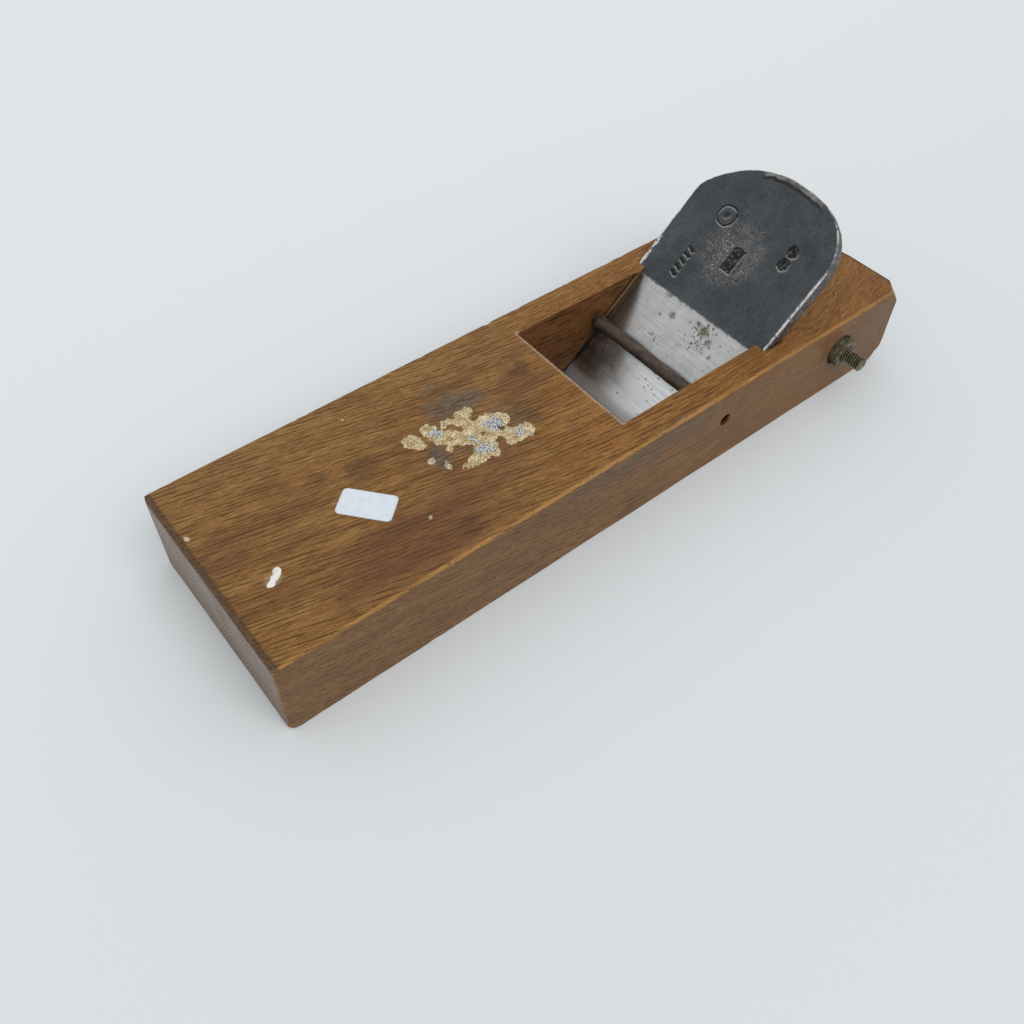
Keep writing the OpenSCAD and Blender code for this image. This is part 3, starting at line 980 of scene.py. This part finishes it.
def dark_iron():
    """Black scale, mottled broad and fine, with rust, scuffs, struck marks and bright arrises; painted
    shade in the struck marks and the fold, and painted highlights on the marks' lit walls.
    """
    m = Shade("forge_scale")
    patchy = m.lumps(6, 6, 0.68)
    m.colour = m.ramp(patchy, (0.3, (42, 46, 50)), (0.5, (55, 60, 64)), (0.7, (69, 74, 78)))
    broad = m.lumps((15, 11, 15), 4, 0.6)
    m.coat((84, 89, 93), m.fade(broad, 0.5, 0.7, 0, 0.4))
    m.coat((40, 42, 45), m.fade(broad, 0.48, 0.3, 0, 0.4))
    fine = m.lumps(0.55, 3, 0.7)
    m.coat((92, 96, 100), m.fade(fine, 0.52, 0.68, 0, 0.5))
    m.coat((30, 32, 34), m.fade(fine, 0.46, 0.32, 0, 0.5))
    m.coat((78, 66, 58), m.fade(m.lumps(5, 4, 0.7), 0.6, 0.75, 0, 0.5))
    wall = m.lumps(1.6, 4, 0.7)
    hammered = m.ramp(wall, (0.36, (40, 37, 35)), (0.5, (74, 69, 64)), (0.66, (122, 116, 108)))
    m.coat(hammered, "wall", 0.8)
    speck = m.fade(m.lumps(0.42, 2, 0.6), 0.53, 0.61)
    m.coat((184, 175, 166), "scuffed", speck, 0.9)
    m.coat((82, 72, 64), "scuffed", m.fade(patchy, 0.4, 0.6, 0.05, 0.3))
    m.coat((150, 142, 134), "scratch", 0.45)
    m.coat((34, 34, 36), "pit", 0.55)
    struck = m.fade("mark", 0.02, 0.2)
    # Painted shade: the struck marks are laid near black, the darker the deeper they go.
    bottom = m.blend(m.fade("mark", 0.36, 0.16), (12, 12, 13), (50, 51, 52))
    m.coat(bottom, struck, 0.92)
    # Painted highlight on the punch marks' lit walls.
    m.coat((160, 160, 156), "lit", 0.75)
    rubbed = m.blend(m.fade(patchy, 0.35, 0.65), (84, 80, 75), (146, 141, 134))
    m.coat(rubbed, "lip", 0.8)
    # Painted shadow in the crease under the hammered lip.
    m.coat((20, 21, 22), "fold", 0.9)
    bright = m.times("wear", m.fade(m.lumps(1.2, 3), 0.3, 0.5))
    m.coat((222, 222, 218), bright)
    m.coat((226, 224, 218), "chips", 0.85)
    rough = m.maths("MULTIPLY_ADD", struck, 0.35, m.fade(patchy, 0.3, 0.7, 0.42, 0.58))
    height = m.maths("ADD", m.lumps(1.6, 4), fine)
    return m.finish(rough, m.bump(height, 0.08), m.fade(bright, 0, 1, 0.1, 0.6))


def add_iron():
    start = EDGE_S + STEEL_THICK / math.tan(BEVEL_ANGLE) + 0.1
    low_rows = np.linspace(start, STEEL_S, LOW_ROWS)
    high_rows = np.linspace(0, 1, HEAD_ROWS)
    rows = np.concatenate([low_rows - LOW_SHIFT, high_rows])

    def place(u, c, inset):
        """Rows below 0 are places along the iron less LOW_SHIFT; the others share out the head."""
        y = c * (IRON_HALF - inset)
        first = STEEL_S + 0.03
        s = np.where(u < 0, u + LOW_SHIFT, first + (outline_s(y, inset) - first) * u)
        return s, y

    def top_d(s, y):
        relief, _ = head_relief(s, y)
        return np.where(s <= STEEL_S + 0.001, STEEL_THICK, relief)

    s, y, d, faces = layered_plate(rows, even_columns(IRON_COLUMNS), place, top_d, back_d, 0.28)
    _, masks = head_relief(s, y)
    on_face = (d < 0.9).astype(float) * (s > STEEL_S)
    marks = {name: values * on_face for name, values in masks.items()}
    marks["wear"] = head_wear(s, y, d)
    low = back_d(s)
    chipped = fade(cloud(np.stack([s, y, d], -1), 1.3, 14), -0.25, 0.1)
    marks["chips"] = fade(y, 30.3, 31.4) * fade(np.abs(s - 4.5), 9, 6) * fade(d, 1.6, 0.6) * chipped
    marks["wall"] = fade(d, 0.3, 0.9) * fade(low - d, 0.05, 0.5)
    behind = (d > low - 0.01) & (s > STEEL_S)
    hammered = np.where(behind, 0.12 * fade(cloud(np.stack([s, y], -1), 6, 21), -0.6, 0.6), 0)
    points = iron_point(s, y, d - hammered)
    make_piece("forged_iron", points, faces, dark_iron(), "iron",
               ["blade_iron"], marks, 40)


# Pits that crowd together: how many, centre and spread up the face and across it, and radii.
PIT_CLUSTERS = (
    (70, (-10.0, -9.0), (2.4, 3.4), (0.22, 0.6)),
    (16, (-6.5, -8.0), (1.6, 3.0), (0.3, 0.8)),
    (10, (-19.5, 7.0), (0.8, 3.6), (0.2, 0.45)),
    (16, (-34.0, -4.0), (4.0, 7.0), (0.22, 0.42)),
)
# Rust stains: centre up the face and across it, and radius.
BROWN_STAINS = (
    (-9.0, 6.0, 2.0), (-11.2, 10.5, 0.9), (-3.6, 12.5, 1.7), (-7.0, -9.0, 3.0),
    (-9.5, -13.0, 1.6), (-13.5, -17.0, 1.0),
)


def ground_relief(s, y):
    """The ground face's depth under the flat one, and its masks."""
    rng = random.Random(9)
    pits = scattered(rng, 40, (-50, -3, -28, 28), (0.15, 0.32))
    for cluster in PIT_CLUSTERS:
        pits += clustered(rng, *cluster)
    pit = pit_marks(s, y, pits)
    both = np.stack([s, y], -1)
    hollow = fade(np.hypot((s + 34) / 15.5, y / 27.5), 1.0, 0.55)
    stain = np.zeros_like(s)
    for stain_s, stain_y, radius in BROWN_STAINS:
        away = np.hypot(s - stain_s, y - stain_y) + 0.7 * cloud(both, 1.6, 31)
        stain = np.maximum(stain, fade(away, radius, radius * 0.3))
    edge_wear = 0.12 * fade(s, EDGE_S + 0.8, EDGE_S)
    depth = 0.02 + 0.01 * cloud(both, 12, 33) + 0.13 * pit + 0.4 * hollow + edge_wear
    below = fade(s, -22.0, -28.0)
    honed = fade(s + 1.2 * cloud(both, (2.5, 9), 35), EDGE_S + 9.5, EDGE_S + 2.0)
    # Painted reflection with some tarnish: under the pin the steel darkens towards the far cheek.
    tarnish_and_reflection = below * (1 - honed) * fade(y + 0.35 * (s + 34) + 3 * cloud(both, 7, 34), 0, 21)
    # Painted reflection: under the pin the steel is laid brighter towards the near side.
    painted_bright_reflection = below * fade(y, 10, -4)
    # Painted reflection of the dark cheek on the steel above the pin, near the far side.
    shaded = (1 - below) * fade(y - 0.24 * (s + 4) + 1.2 * cloud(both, 4, 38), 21.8, 26.4)
    ragged = s + 0.5 * cloud(both, 1.5, 36) + 0.3 * cloud(both, 0.6, 37)
    seam = fade(ragged, STEEL_S - 0.75, STEEL_S - 0.3)
    return np.maximum(depth, 0.0), {"pit": pit, "stain": stain, "tarnish_and_reflection": tarnish_and_reflection,
                                    "painted_bright_reflection": painted_bright_reflection, "honed": honed, "shaded": shaded,
                                    "seam": seam}


def bright_steel():
    """Steel ground across, with haze, a honed band, rust and a dark forge seam, and painted
    reflections: bright under the pin, blue grey ones of the cheek towards the far side, partly
    tarnish.
    """
    m = Shade("ground_steel")
    lines = m.lumps((0.35, 22, 0.35), 3, 0.6)
    soft = m.lumps(9, 5, 0.65)
    m.colour = m.ramp(soft, (0.3, (188, 188, 186)), (0.5, (206, 206, 204)), (0.7, (220, 220, 219)))
    m.coat((146, 142, 134), m.fade(m.lumps(4, 5, 0.72), 0.54, 0.72, 0, 0.4))
    # Painted bright reflection.
    m.coat((246, 247, 248), "painted_bright_reflection", 0.7)
    m.coat((136, 135, 132), m.fade(lines, 0.35, 0.65, 0.35, 0.0))
    # Painted reflection of the dark cheek.
    m.coat((112, 121, 130), "shaded", 0.5)
    smoky = m.fade(m.lumps(5, 4, 0.65), 0.32, 0.6, 0.35, 0.85)
    # Painted reflection of the far cheek, with some tarnish.
    m.coat((108, 116, 124), "tarnish_and_reflection", smoky)
    m.coat((216, 219, 221), "honed", 0.6)
    m.coat((74, 78, 80), "seam", 0.85)
    rust = m.fade(m.lumps(0.9, 3), 0.3, 0.65, 0.5, 1.0)
    stain = m.times("stain", rust)
    m.coat((112, 98, 76), stain)
    m.coat((52, 43, 34), "pit", 0.9)
    rusty = m.maths("MAXIMUM", stain, m.maths("MAXIMUM", "pit", "seam"))
    rough = m.fade(lines, 0.3, 0.7, 0.22, 0.27)
    rough = m.maths("MULTIPLY_ADD", rusty, 0.4, rough)
    rough = m.maths("MULTIPLY_ADD", "honed", 0.15, rough)
    matt = m.maths("MAXIMUM", rusty, m.times("honed", 0.35))
    height = m.maths("ADD", lines, m.times(soft, 0.4))
    return m.finish(rough, m.bump(height, 0.004), m.fade(matt, 0, 1, 1.0, 0.3))


def add_steel():
    rows = np.linspace(EDGE_S + 0.08, STEEL_S, STEEL_ROWS)

    def place(u, c, inset):
        return np.broadcast_to(u, c.shape) + 0.0, c * (IRON_HALF - 0.3 * inset)

    def top_d(s, y):
        relief, _ = ground_relief(s, y)
        return np.minimum(relief, 0.8 * (s - EDGE_S) * math.tan(BEVEL_ANGLE))

    def low_d(s):
        return np.minimum((s - EDGE_S) * math.tan(BEVEL_ANGLE), STEEL_THICK)

    s, y, d, faces = layered_plate(rows, even_columns(STEEL_COLUMNS), place, top_d, low_d, 0.05)
    _, masks = ground_relief(s, y)
    marks = {name: values * (d < 0.8) for name, values in masks.items()}
    make_piece("ground_edge", iron_point(s, y, d), faces, bright_steel(), "iron",
               ["blade_steel"], marks, 40)


# ---- round and hexagonal pieces

def turned_points(axis, rings, count):
    """Rings round an axis along Y: each ring gives its place and its radii."""
    angles = np.arange(count) * ROUND / count
    points = []
    for place, radii in rings:
        radii = np.broadcast_to(radii, angles.shape)
        x = axis[0] + radii * np.cos(angles)
        z = axis[1] + radii * np.sin(angles)
        points.append(np.stack([x, np.full(count, float(place)), z], -1))
    return np.concatenate(points)


def dented(points, axis, size, depth, seed):
    """Draws points in towards the axis by a little noise."""
    centre = np.array([axis[0], 0, axis[1]])
    out = (points - centre) * (1, 0, 1)
    reach = np.linalg.norm(out, axis=1, keepdims=True)
    lumps = np.clip(0.5 + 0.5 * cloud(points, size, seed), 0, 1)[:, None]
    return points - out / np.maximum(reach, 0.01) * depth * lumps


def hexagon_radii(count, turn):
    """Radius of a hexagon with softened corners at each angle round it."""
    angles = np.arange(count) * ROUND / count - turn
    sector = ROUND / 6
    from_flat = (angles % sector) - sector / 2
    return np.minimum(HEX_FLATS / 2 / np.cos(from_flat), HEX_FLATS / 2 / math.cos(sector / 2) - 0.12)


def rusty_iron():
    """Brown rust with lighter specks."""
    m = Shade("rusted_pin")
    patchy = m.lumps((2.2, 5, 2.2), 5, 0.65)
    m.colour = m.ramp(patchy, (0.3, (46, 40, 38)), (0.5, (82, 70, 63)), (0.72, (118, 100, 84)))
    speck = m.fade(m.lumps(0.7, 3), 0.58, 0.7, 0, 0.6)
    m.coat((112, 84, 60), speck)
    height = m.maths("ADD", patchy, m.lumps(0.5, 3))
    return m.finish(m.fade(patchy, 0.3, 0.7, 0.5, 0.8), m.bump(height, 0.12), 0.25)


def add_pin():
    radius = (PIN_HIGH[0] - PIN_LOW[0]) / 2
    axis = axis_of(PIN_LOW, PIN_HIGH)
    ends = ((0.0, 0.72), (0.12, 0.86), (0.4, 0.97), (0.8, 1.0))
    rings = [(PIN_LOW[1] + gap, radius * part) for gap, part in ends]
    body = np.arange(PIN_LOW[1] + 1.2, PIN_HIGH[1] - 1.2, 0.4)
    rings += [(place, radius * (1 + 0.13 * math.exp(-(place - 26.4) ** 2 / 2))) for place in body]
    rings += [(PIN_HIGH[1] - gap, radius * part) for gap, part in reversed(ends)]
    count = 48
    points = turned_points(axis, rings, count)
    points = dented(points, axis, (1.6, 3.0, 1.6), 0.14, 41)
    points = dented(points, axis, (0.6, 0.8, 0.6), 0.07, 42)
    faces = capped_faces(len(rings), count)
    make_piece("worn_pin", points, faces, rusty_iron(), "stock", ["cross_pin"])


def dull_brass():
    """Brass gone brown and green, dark in the thread's grooves, and lighter on the crests: rubbed,
    with a painted highlight.
    """
    m = Shade("tarnished_brass")
    patchy = m.lumps(1.8, 5, 0.65)
    m.colour = m.ramp(patchy, (0.3, (64, 57, 46)), (0.5, (106, 98, 76)), (0.7, (158, 150, 124)))
    m.coat((94, 103, 80), m.fade(m.lumps(1.1, 4), 0.5, 0.68, 0, 0.5))
    m.coat((38, 32, 26), m.fade(m.lumps(0.6, 3), 0.56, 0.68, 0, 0.6))
    m.coat((26, 22, 17), m.fade("groove", 0.25, 0.8, 0, 0.9))
    # Lighter crests: rubbed brass with a painted highlight.
    m.coat((150, 142, 112), "crest")
    height = m.maths("ADD", patchy, m.lumps(0.5, 3))
    return m.finish(m.fade(patchy, 0.3, 0.7, 0.62, 0.38), m.bump(height, 0.06), 0.5)


def thread_radii(place, count, outer):
    """A screw thread's radius at each angle, where it crosses a place along Y."""
    turn = (place / THREAD_PITCH + np.arange(count) / count) % 1.0
    groove = np.clip(1.15 - 2.3 * np.abs(turn - 0.5), 0, 1)
    return outer - THREAD_DEPTH * groove


def add_bolt(finish):
    axis = axis_of(BOLT_LOW, BOLT_HIGH)
    count = 60
    seat = BOLT_HIGH[1] - HEAD_H
    nut_face = NUT_LOW[1]
    tip = BOLT_LOW[1]
    flat = hexagon_radii(count, 0.0)
    rings = [(tip, 2.35), (tip + 0.12, 2.6)]
    for place in np.arange(tip + 0.3, -24, THREAD_PITCH / 12):
        full = THREAD_R - THREAD_SLACK - STUD_R
        outer = STUD_R + full * float(fade(place, nut_face, nut_face + 0.6))
        rings.append((place, thread_radii(place, count, outer)))
    threaded = len(rings)
    rings += [(-23.5, THREAD_R - 0.05), (seat - 0.2, THREAD_R - 0.05), (seat, THREAD_R + 0.2)]
    rings += [(seat, flat - 0.25), (seat + 0.2, flat), (seat + HEAD_H - 0.75, flat)]
    for rise, most in ((0.5, 5.55), (0.25, 5.2), (0.1, 4.95), (0.0, 4.7)):
        rings.append((seat + HEAD_H - rise, np.minimum(flat, most)))
    rings.append((seat + HEAD_H - 0.05, 2.0))
    groove = np.zeros(len(rings) * count)
    for ring, (place, radii) in enumerate(rings[2:threaded], 2):
        groove[ring * count:(ring + 1) * count] = (np.max(radii) - radii) / THREAD_DEPTH
    cut = np.arange(len(groove)) // count
    # The crests, lighter for wear and a painted highlight.
    crest = np.where((cut > 1) & (cut < threaded), fade(groove, 0.2, 0.0) * 0.5, 0)
    points = dented(turned_points(axis, rings, count), axis, 1.1, 0.09, 51)
    faces = capped_faces(len(rings), count)
    make_piece("threaded_bolt", points, faces, finish, "stock", ["clamp_bolt"],
               {"groove": groove, "crest": crest})


def add_nut(finish):
    axis = axis_of(BOLT_LOW, BOLT_HIGH)
    count = 96
    inner, outer = NUT_HIGH[1], NUT_LOW[1]
    flat = hexagon_radii(count, NUT_TURN)
    bore = THREAD_R + THREAD_SLACK
    rings = [(inner, 3.5), (inner, np.minimum(flat, 4.85)), (inner - 0.15, np.minimum(flat, 5.2)),
             (inner - 0.4, flat), (inner - 1.6, flat), (inner - 2.8, flat), (outer + 0.75, flat)]
    for rise, most in ((0.5, 5.6), (0.25, 5.3), (0.1, 5.0), (0.0, 4.75), (0.0, 3.6)):
        rings.append((outer + rise, np.minimum(flat, most)))
    rings += [(outer + 0.35, bore + 0.05), (outer + 1.5, bore), (inner - 0.4, bore)]
    points = dented(turned_points(axis, rings, count), axis, 1.3, 0.08, 61)
    across = np.hypot(points[:, 0] - axis[0], points[:, 2] - axis[1])
    inside = (across < bore) & (across > 0)
    points[inside, 0] = axis[0] + (points[inside, 0] - axis[0]) * bore / across[inside]
    points[inside, 2] = axis[1] + (points[inside, 2] - axis[1]) * bore / across[inside]
    faces = ring_faces(len(rings), count, closed=True)
    make_piece("hexagon_nut", points, faces, finish, "nut", ["clamp_nut"])


def add_washer(node, body, finish):
    low, high = span(node)
    axis = axis_of(low, high)
    outer = (high[0] - low[0]) / 2
    inner = THREAD_R + 0.2
    thick = high[1] - low[1]
    count = 72
    rings = []
    for place, radius in ((0.12, outer), (0.5, outer), (0.88, outer), (0.97, outer - 0.1),
                          (1.0, outer - 0.3), (1.0, (outer + inner) / 2), (1.0, inner + 0.2),
                          (0.9, inner), (0.5, inner), (0.1, inner), (0.0, inner + 0.2),
                          (0.0, (outer + inner) / 2), (0.0, outer - 0.3), (0.03, outer - 0.1)):
        rings.append((low[1] + place * thick, radius))
    points = turned_points(axis, rings, count)
    across = np.hypot(points[:, 0] - axis[0], points[:, 2] - axis[1])
    worn = dented(points, axis, 1.5, 0.12, 71)
    points = np.where((across > inner + 0.3)[:, None], worn, points)
    faces = ring_faces(len(rings), count, closed=True)
    make_piece(node + "_worn", points, faces, finish, body, [node])


# ---- labels and paint

def clean_paper():
    m = Shade("label_paper")
    soiled = (202, 208, 216)
    cloudy = m.lumps(3, 4)
    m.colour = m.blend(m.fade(cloudy, 0.45, 0.75, 0, 0.5), (218, 225, 234), soiled)
    fibre = m.lumps((0.25, 1.2, 0.25), 3)
    m.coat(soiled, m.fade(fibre, 0.6, 0.75, 0, 0.2))
    m.coat((176, 172, 164), m.fade("border", 0.9, 1.0, 0, 0.35))
    return m.finish(0.6, m.bump(fibre, 0.03))


LABEL_SIZE = (18.0, 10.5)
PAPER_SUNK = 0.04  # how far the papers reach into the wood, so that no gap shows
LABEL_ROUND = 1.6
LABEL_TURN = math.radians(-49.5)


def label_outline(per_corner):
    """Points round the label's rounded rectangle, about its centre."""
    points = []
    half = (LABEL_SIZE[0] / 2, LABEL_SIZE[1] / 2)
    corners = ((1, 1, 0), (-1, 1, 1), (-1, -1, 2), (1, -1, 3))
    for sx, sy, quarter in corners:
        for k in range(per_corner):
            angle = (quarter + k / (per_corner - 1)) * ROUND / 4
            points.append((sx * (half[0] - LABEL_ROUND) + LABEL_ROUND * math.cos(angle),
                           sy * (half[1] - LABEL_ROUND) + LABEL_ROUND * math.sin(angle)))
    return np.array(points)


def add_label():
    low, high = span("paper_label")
    centre = (low + high)[:2] / 2
    ring = label_outline(9)
    filled = []
    for start, end in zip(ring, np.roll(ring, -1, axis=0)):
        steps = max(1, int(round(np.hypot(*(end - start)) / 0.6)))
        filled += [start + (end - start) * k / steps for k in range(steps)]
    ring = np.array(filled)
    count = len(ring)
    turn = np.array([[math.cos(LABEL_TURN), -math.sin(LABEL_TURN)],
                     [math.sin(LABEL_TURN), math.cos(LABEL_TURN)]])
    points = []
    border = []
    rings = [(part, 1) for part in (0.03, 0.2, 0.4, 0.6, 0.75, 0.87, 0.95, 0.985, 1.0)]
    rings += [(part, 0) for part in (1.0, 0.9, 0.5, 0.03)]
    for part, top in rings:
        flat = ring * part @ turn.T + centre
        lift = 0.10 * fade(cloud(flat, 6, 81), -0.2, 0.7)
        lift += 0.22 * part ** 6 * fade(cloud(flat, 9, 82), 0.0, 0.6)
        height = TOP - PAPER_SUNK + lift + (0.16 if top else 0.0)
        points.append(np.column_stack([flat, height]))
        border += [part] * count
    faces = capped_faces(len(rings), count)
    make_piece("blank_label", np.concatenate(points), faces, clean_paper(), "stock",
               ["paper_label"], {"border": border}, 50)


# Patches of old paper: centre along and across, half widths, and turn in degrees.
PAPER_PATCHES = (
    (-56.6, 7.6, 3.6, 3.2, 20), (-55.2, 4.4, 2.3, 2.8, 60), (-49.6, 8.2, 3.0, 3.0, 0),
    (-48.2, 3.6, 3.6, 5.6, 20), (-44.2, 1.0, 5.0, 4.6, -20), (-42.0, 6.2, 4.2, 2.8, -25),
    (-36.0, 7.6, 4.4, 2.6, 15), (-38.2, 3.0, 3.4, 3.6, 30), (-40.5, -2.2, 4.4, 4.2, 10),
    (-32.2, -0.6, 5.2, 4.2, 15), (-27.4, -2.2, 3.2, 3.4, 0), (-38.8, -8.6, 4.0, 6.0, 15),
    (-43.2, -11.4, 5.2, 2.8, 0), (-47.6, -12.2, 2.8, 1.8, 0), (-28.4, -10.2, 6.0, 4.0, -8),
    (-24.0, -10.8, 3.4, 3.6, 0), (-33.4, -6.2, 3.4, 3.0, 0), (-49.0, -2.6, 1.8, 2.0, 0),
    (-56.6, -3.2, 1.7, 1.4, 30), (-53.8, -8.8, 1.5, 1.8, 0), (-52.2, -6.2, 1.1, 1.4, 0),
)
# Where the old paper is still blue grey with print: centre and half widths.
PRINT_STAINS = (
    ((-30.6, -2.5, TOP), (4.2, 4.6, 3), 1.0),
    ((-39.8, -9.1, TOP), (5.6, 3.6, 3), 1.0),
    ((-47.9, 5.1, TOP), (3.4, 3.0, 3), 0.9),
    ((-26.1, -10.6, TOP), (3.4, 3.0, 3), 0.8),
    ((-40.5, -4.0, TOP), (2.4, 2.6, 3), 0.8),
    ((-54.5, -6.0, TOP), (4.0, 5.0, 3), 0.6),
)
# Gaps in the old paper, and the spilt paint, in the same way.
PAPER_GAPS = (
    (-45.6, -6.6, 3.4, 2.2, -20), (-34.2, -11.6, 0.8, 3.2, -30), (-42.2, 4.4, 0.8, 2.0, 40),
    (-52.9, 6.2, 0.8, 4.4, 15), (-34.0, 3.9, 2.0, 0.8, 20), (-24.2, -5.6, 2.6, 0.5, 8),
    (-51.2, -5.2, 1.6, 3.0, 20),
)
PAINT_PATCHES = (
    (-117.3, -11.2, 1.5, 1.8, -20), (-119.0, -12.8, 2.2, 1.4, 35), (-120.9, -14.2, 1.6, 1.2, 10),
)


def patch_field(points, patches, ragged, size, seed):
    """Above 0 inside any of the ellipses, with ragged borders."""
    x, y = points[..., 0], points[..., 1]
    field = np.full(x.shape, -9.0)
    for centre_x, centre_y, half_x, half_y, degrees in patches:
        turn = math.radians(degrees)
        along = (x - centre_x) * math.cos(turn) + (y - centre_y) * math.sin(turn)
        beside = (y - centre_y) * math.cos(turn) - (x - centre_x) * math.sin(turn)
        inside = (1 - np.hypot(along / half_x, beside / half_y)) * min(half_x, half_y)
        field = np.maximum(field, inside)
    return field + ragged * two_clouds(points, size, seed, size * 0.4, 0.75)


def thin_sheet(field, xs, ys, thick, bottom):
    """A closed thin solid over the cells where field is above 0; its border is smoothed."""
    rows, columns = field.shape
    keep = (field[:-1, :-1] > 0) & (field[1:, :-1] > 0) & (field[:-1, 1:] > 0) & (field[1:, 1:] > 0)
    crowded = np.zeros_like(keep, int)
    padded = np.pad(keep, 1)
    for di in (-1, 0, 1):
        for dj in (-1, 0, 1):
            crowded += padded[1 + di:rows + di, 1 + dj:columns + dj]
    keep &= crowded >= 5
    keep[0, :] = keep[-1, :] = False
    keep[:, 0] = keep[:, -1] = False
    for _ in range(3):
        corner = keep[:-1, :-1] & keep[1:, 1:] & ~keep[1:, :-1] & ~keep[:-1, 1:]
        other = ~keep[:-1, :-1] & ~keep[1:, 1:] & keep[1:, :-1] & keep[:-1, 1:]
        keep[:-1, :-1] &= ~corner
        keep[1:, :-1] &= ~other
    used = {}
    quads = []
    sides = {}
    for i, j in np.argwhere(keep):
        corners = [(i, j), (i, j + 1), (i + 1, j + 1), (i + 1, j)]
        ids = [used.setdefault(c, len(used)) for c in corners]
        quads.append(ids)
        for a, b in zip(ids, ids[1:] + ids[:1]):
            if (b, a) in sides:
                del sides[(b, a)]
            else:
                sides[(a, b)] = True
    spots = np.array([(xs[c[1]], ys[c[0]]) for c in used])
    depth = np.array([field[c] for c in used])
    links = np.array(list(sides))
    weight = np.zeros(len(spots))
    weight[links.ravel()] = 0.5
    flat = smooth_points(np.column_stack([spots, np.zeros(len(spots))]), links_only(links, len(spots)),
                         weight, 4)[:, :2]
    count = len(flat)
    height = thick * (0.25 + 0.75 * fade(depth, 0.0, 0.7))
    top = np.column_stack([flat, TOP + height])
    under = np.column_stack([flat, np.full(count, bottom)])
    faces = list(quads)
    faces += [[i + count for i in reversed(quad)] for quad in quads]
    faces += [(b, a, a + count, b + count) for a, b in sides]
    return np.concatenate([top, under]), faces, np.concatenate([depth, depth])


def links_only(links, count):
    """The border's links, with each inner point linked to itself so that it stays put."""
    inner = np.setdiff1d(np.arange(count), links.ravel())
    return np.concatenate([links, np.column_stack([inner, inner])])


def old_paper():
    """Yellowed paper, worn to grains, with blue grey blurs where print was."""
    m = Shade("old_label_paper")
    cloudy = m.lumps(2.2, 5, 0.65)
    m.colour = m.ramp(cloudy, (0.32, (150, 122, 78)), (0.5, (198, 174, 126)),
                      (0.66, (232, 216, 178)))
    grains = m.lumps(0.55, 3, 0.7)
    m.coat((240, 230, 204), m.fade(grains, 0.55, 0.66, 0, 0.6))
    m.coat((90, 76, 50), m.fade(grains, 0.48, 0.4, 0, 0.85))
    printed = m.blend(m.fade(grains, 0.44, 0.56), (64, 69, 73), (212, 218, 222))
    loose = m.loosened(2.2, 4, 9)
    add_spots(m, loose, PRINT_STAINS, printed)
    m.coat((112, 88, 56), m.fade(m.lumps(1.2, 4, 0.7), 0.58, 0.72, 0, 0.7))
    m.coat((112, 84, 48), m.fade("depth", 0.5, 0.0, 0, 0.6))
    return m.finish(0.75, m.bump(m.maths("ADD", cloudy, grains), 0.18))


def white_paint():
    m = Shade("spilt_white_paint")
    cloudy = m.lumps(1.4, 3)
    m.colour = m.blend(m.fade(cloudy, 0.4, 0.7), (232, 230, 224), (206, 202, 192))
    return m.finish(0.5, m.bump(cloudy, 0.1))


def add_patches(name, patches, gaps, step, thick, finish, nodes, ragged, size):
    """A thin sheet over the patches less the gaps, on a grid of step, with ragged borders."""
    reach = np.array([(p[0] + sx * (p[2] + p[3]), p[1] + sy * (p[2] + p[3]))
                      for p in patches for sx in (-1, 1) for sy in (-1, 1)])
    xs = np.arange(reach[:, 0].min(), reach[:, 0].max(), step)
    ys = np.arange(reach[:, 1].min(), reach[:, 1].max(), step)
    points = np.stack(np.meshgrid(xs, ys), -1)
    field = patch_field(points, patches, ragged, size, 90)
    if gaps:
        field = np.minimum(field, -patch_field(points, gaps, ragged, size, 95))
    points, faces, depth = thin_sheet(field, xs, ys, thick, TOP - 0.06)
    make_piece(name, points, faces, finish, "stock", nodes, {"depth": depth}, 50)


# ---- the whole scene

add_camera()
add_world()
add_lamp()
add_floor()
add_block()
add_iron()
add_steel()
add_pin()
brass = dull_brass()
add_bolt(brass)
add_nut(brass)
add_washer("nut_washer", "washer", brass)
add_washer("head_washer", "stock", brass)
add_label()
add_patches("torn_label", PAPER_PATCHES, PAPER_GAPS, 0.25, 0.11, old_paper(),
            ["label_residue"], 0.95, 1.5)
add_patches("paint_spot", PAINT_PATCHES, (), 0.2, 0.14, white_paint(), (),
            0.25, 1.4)
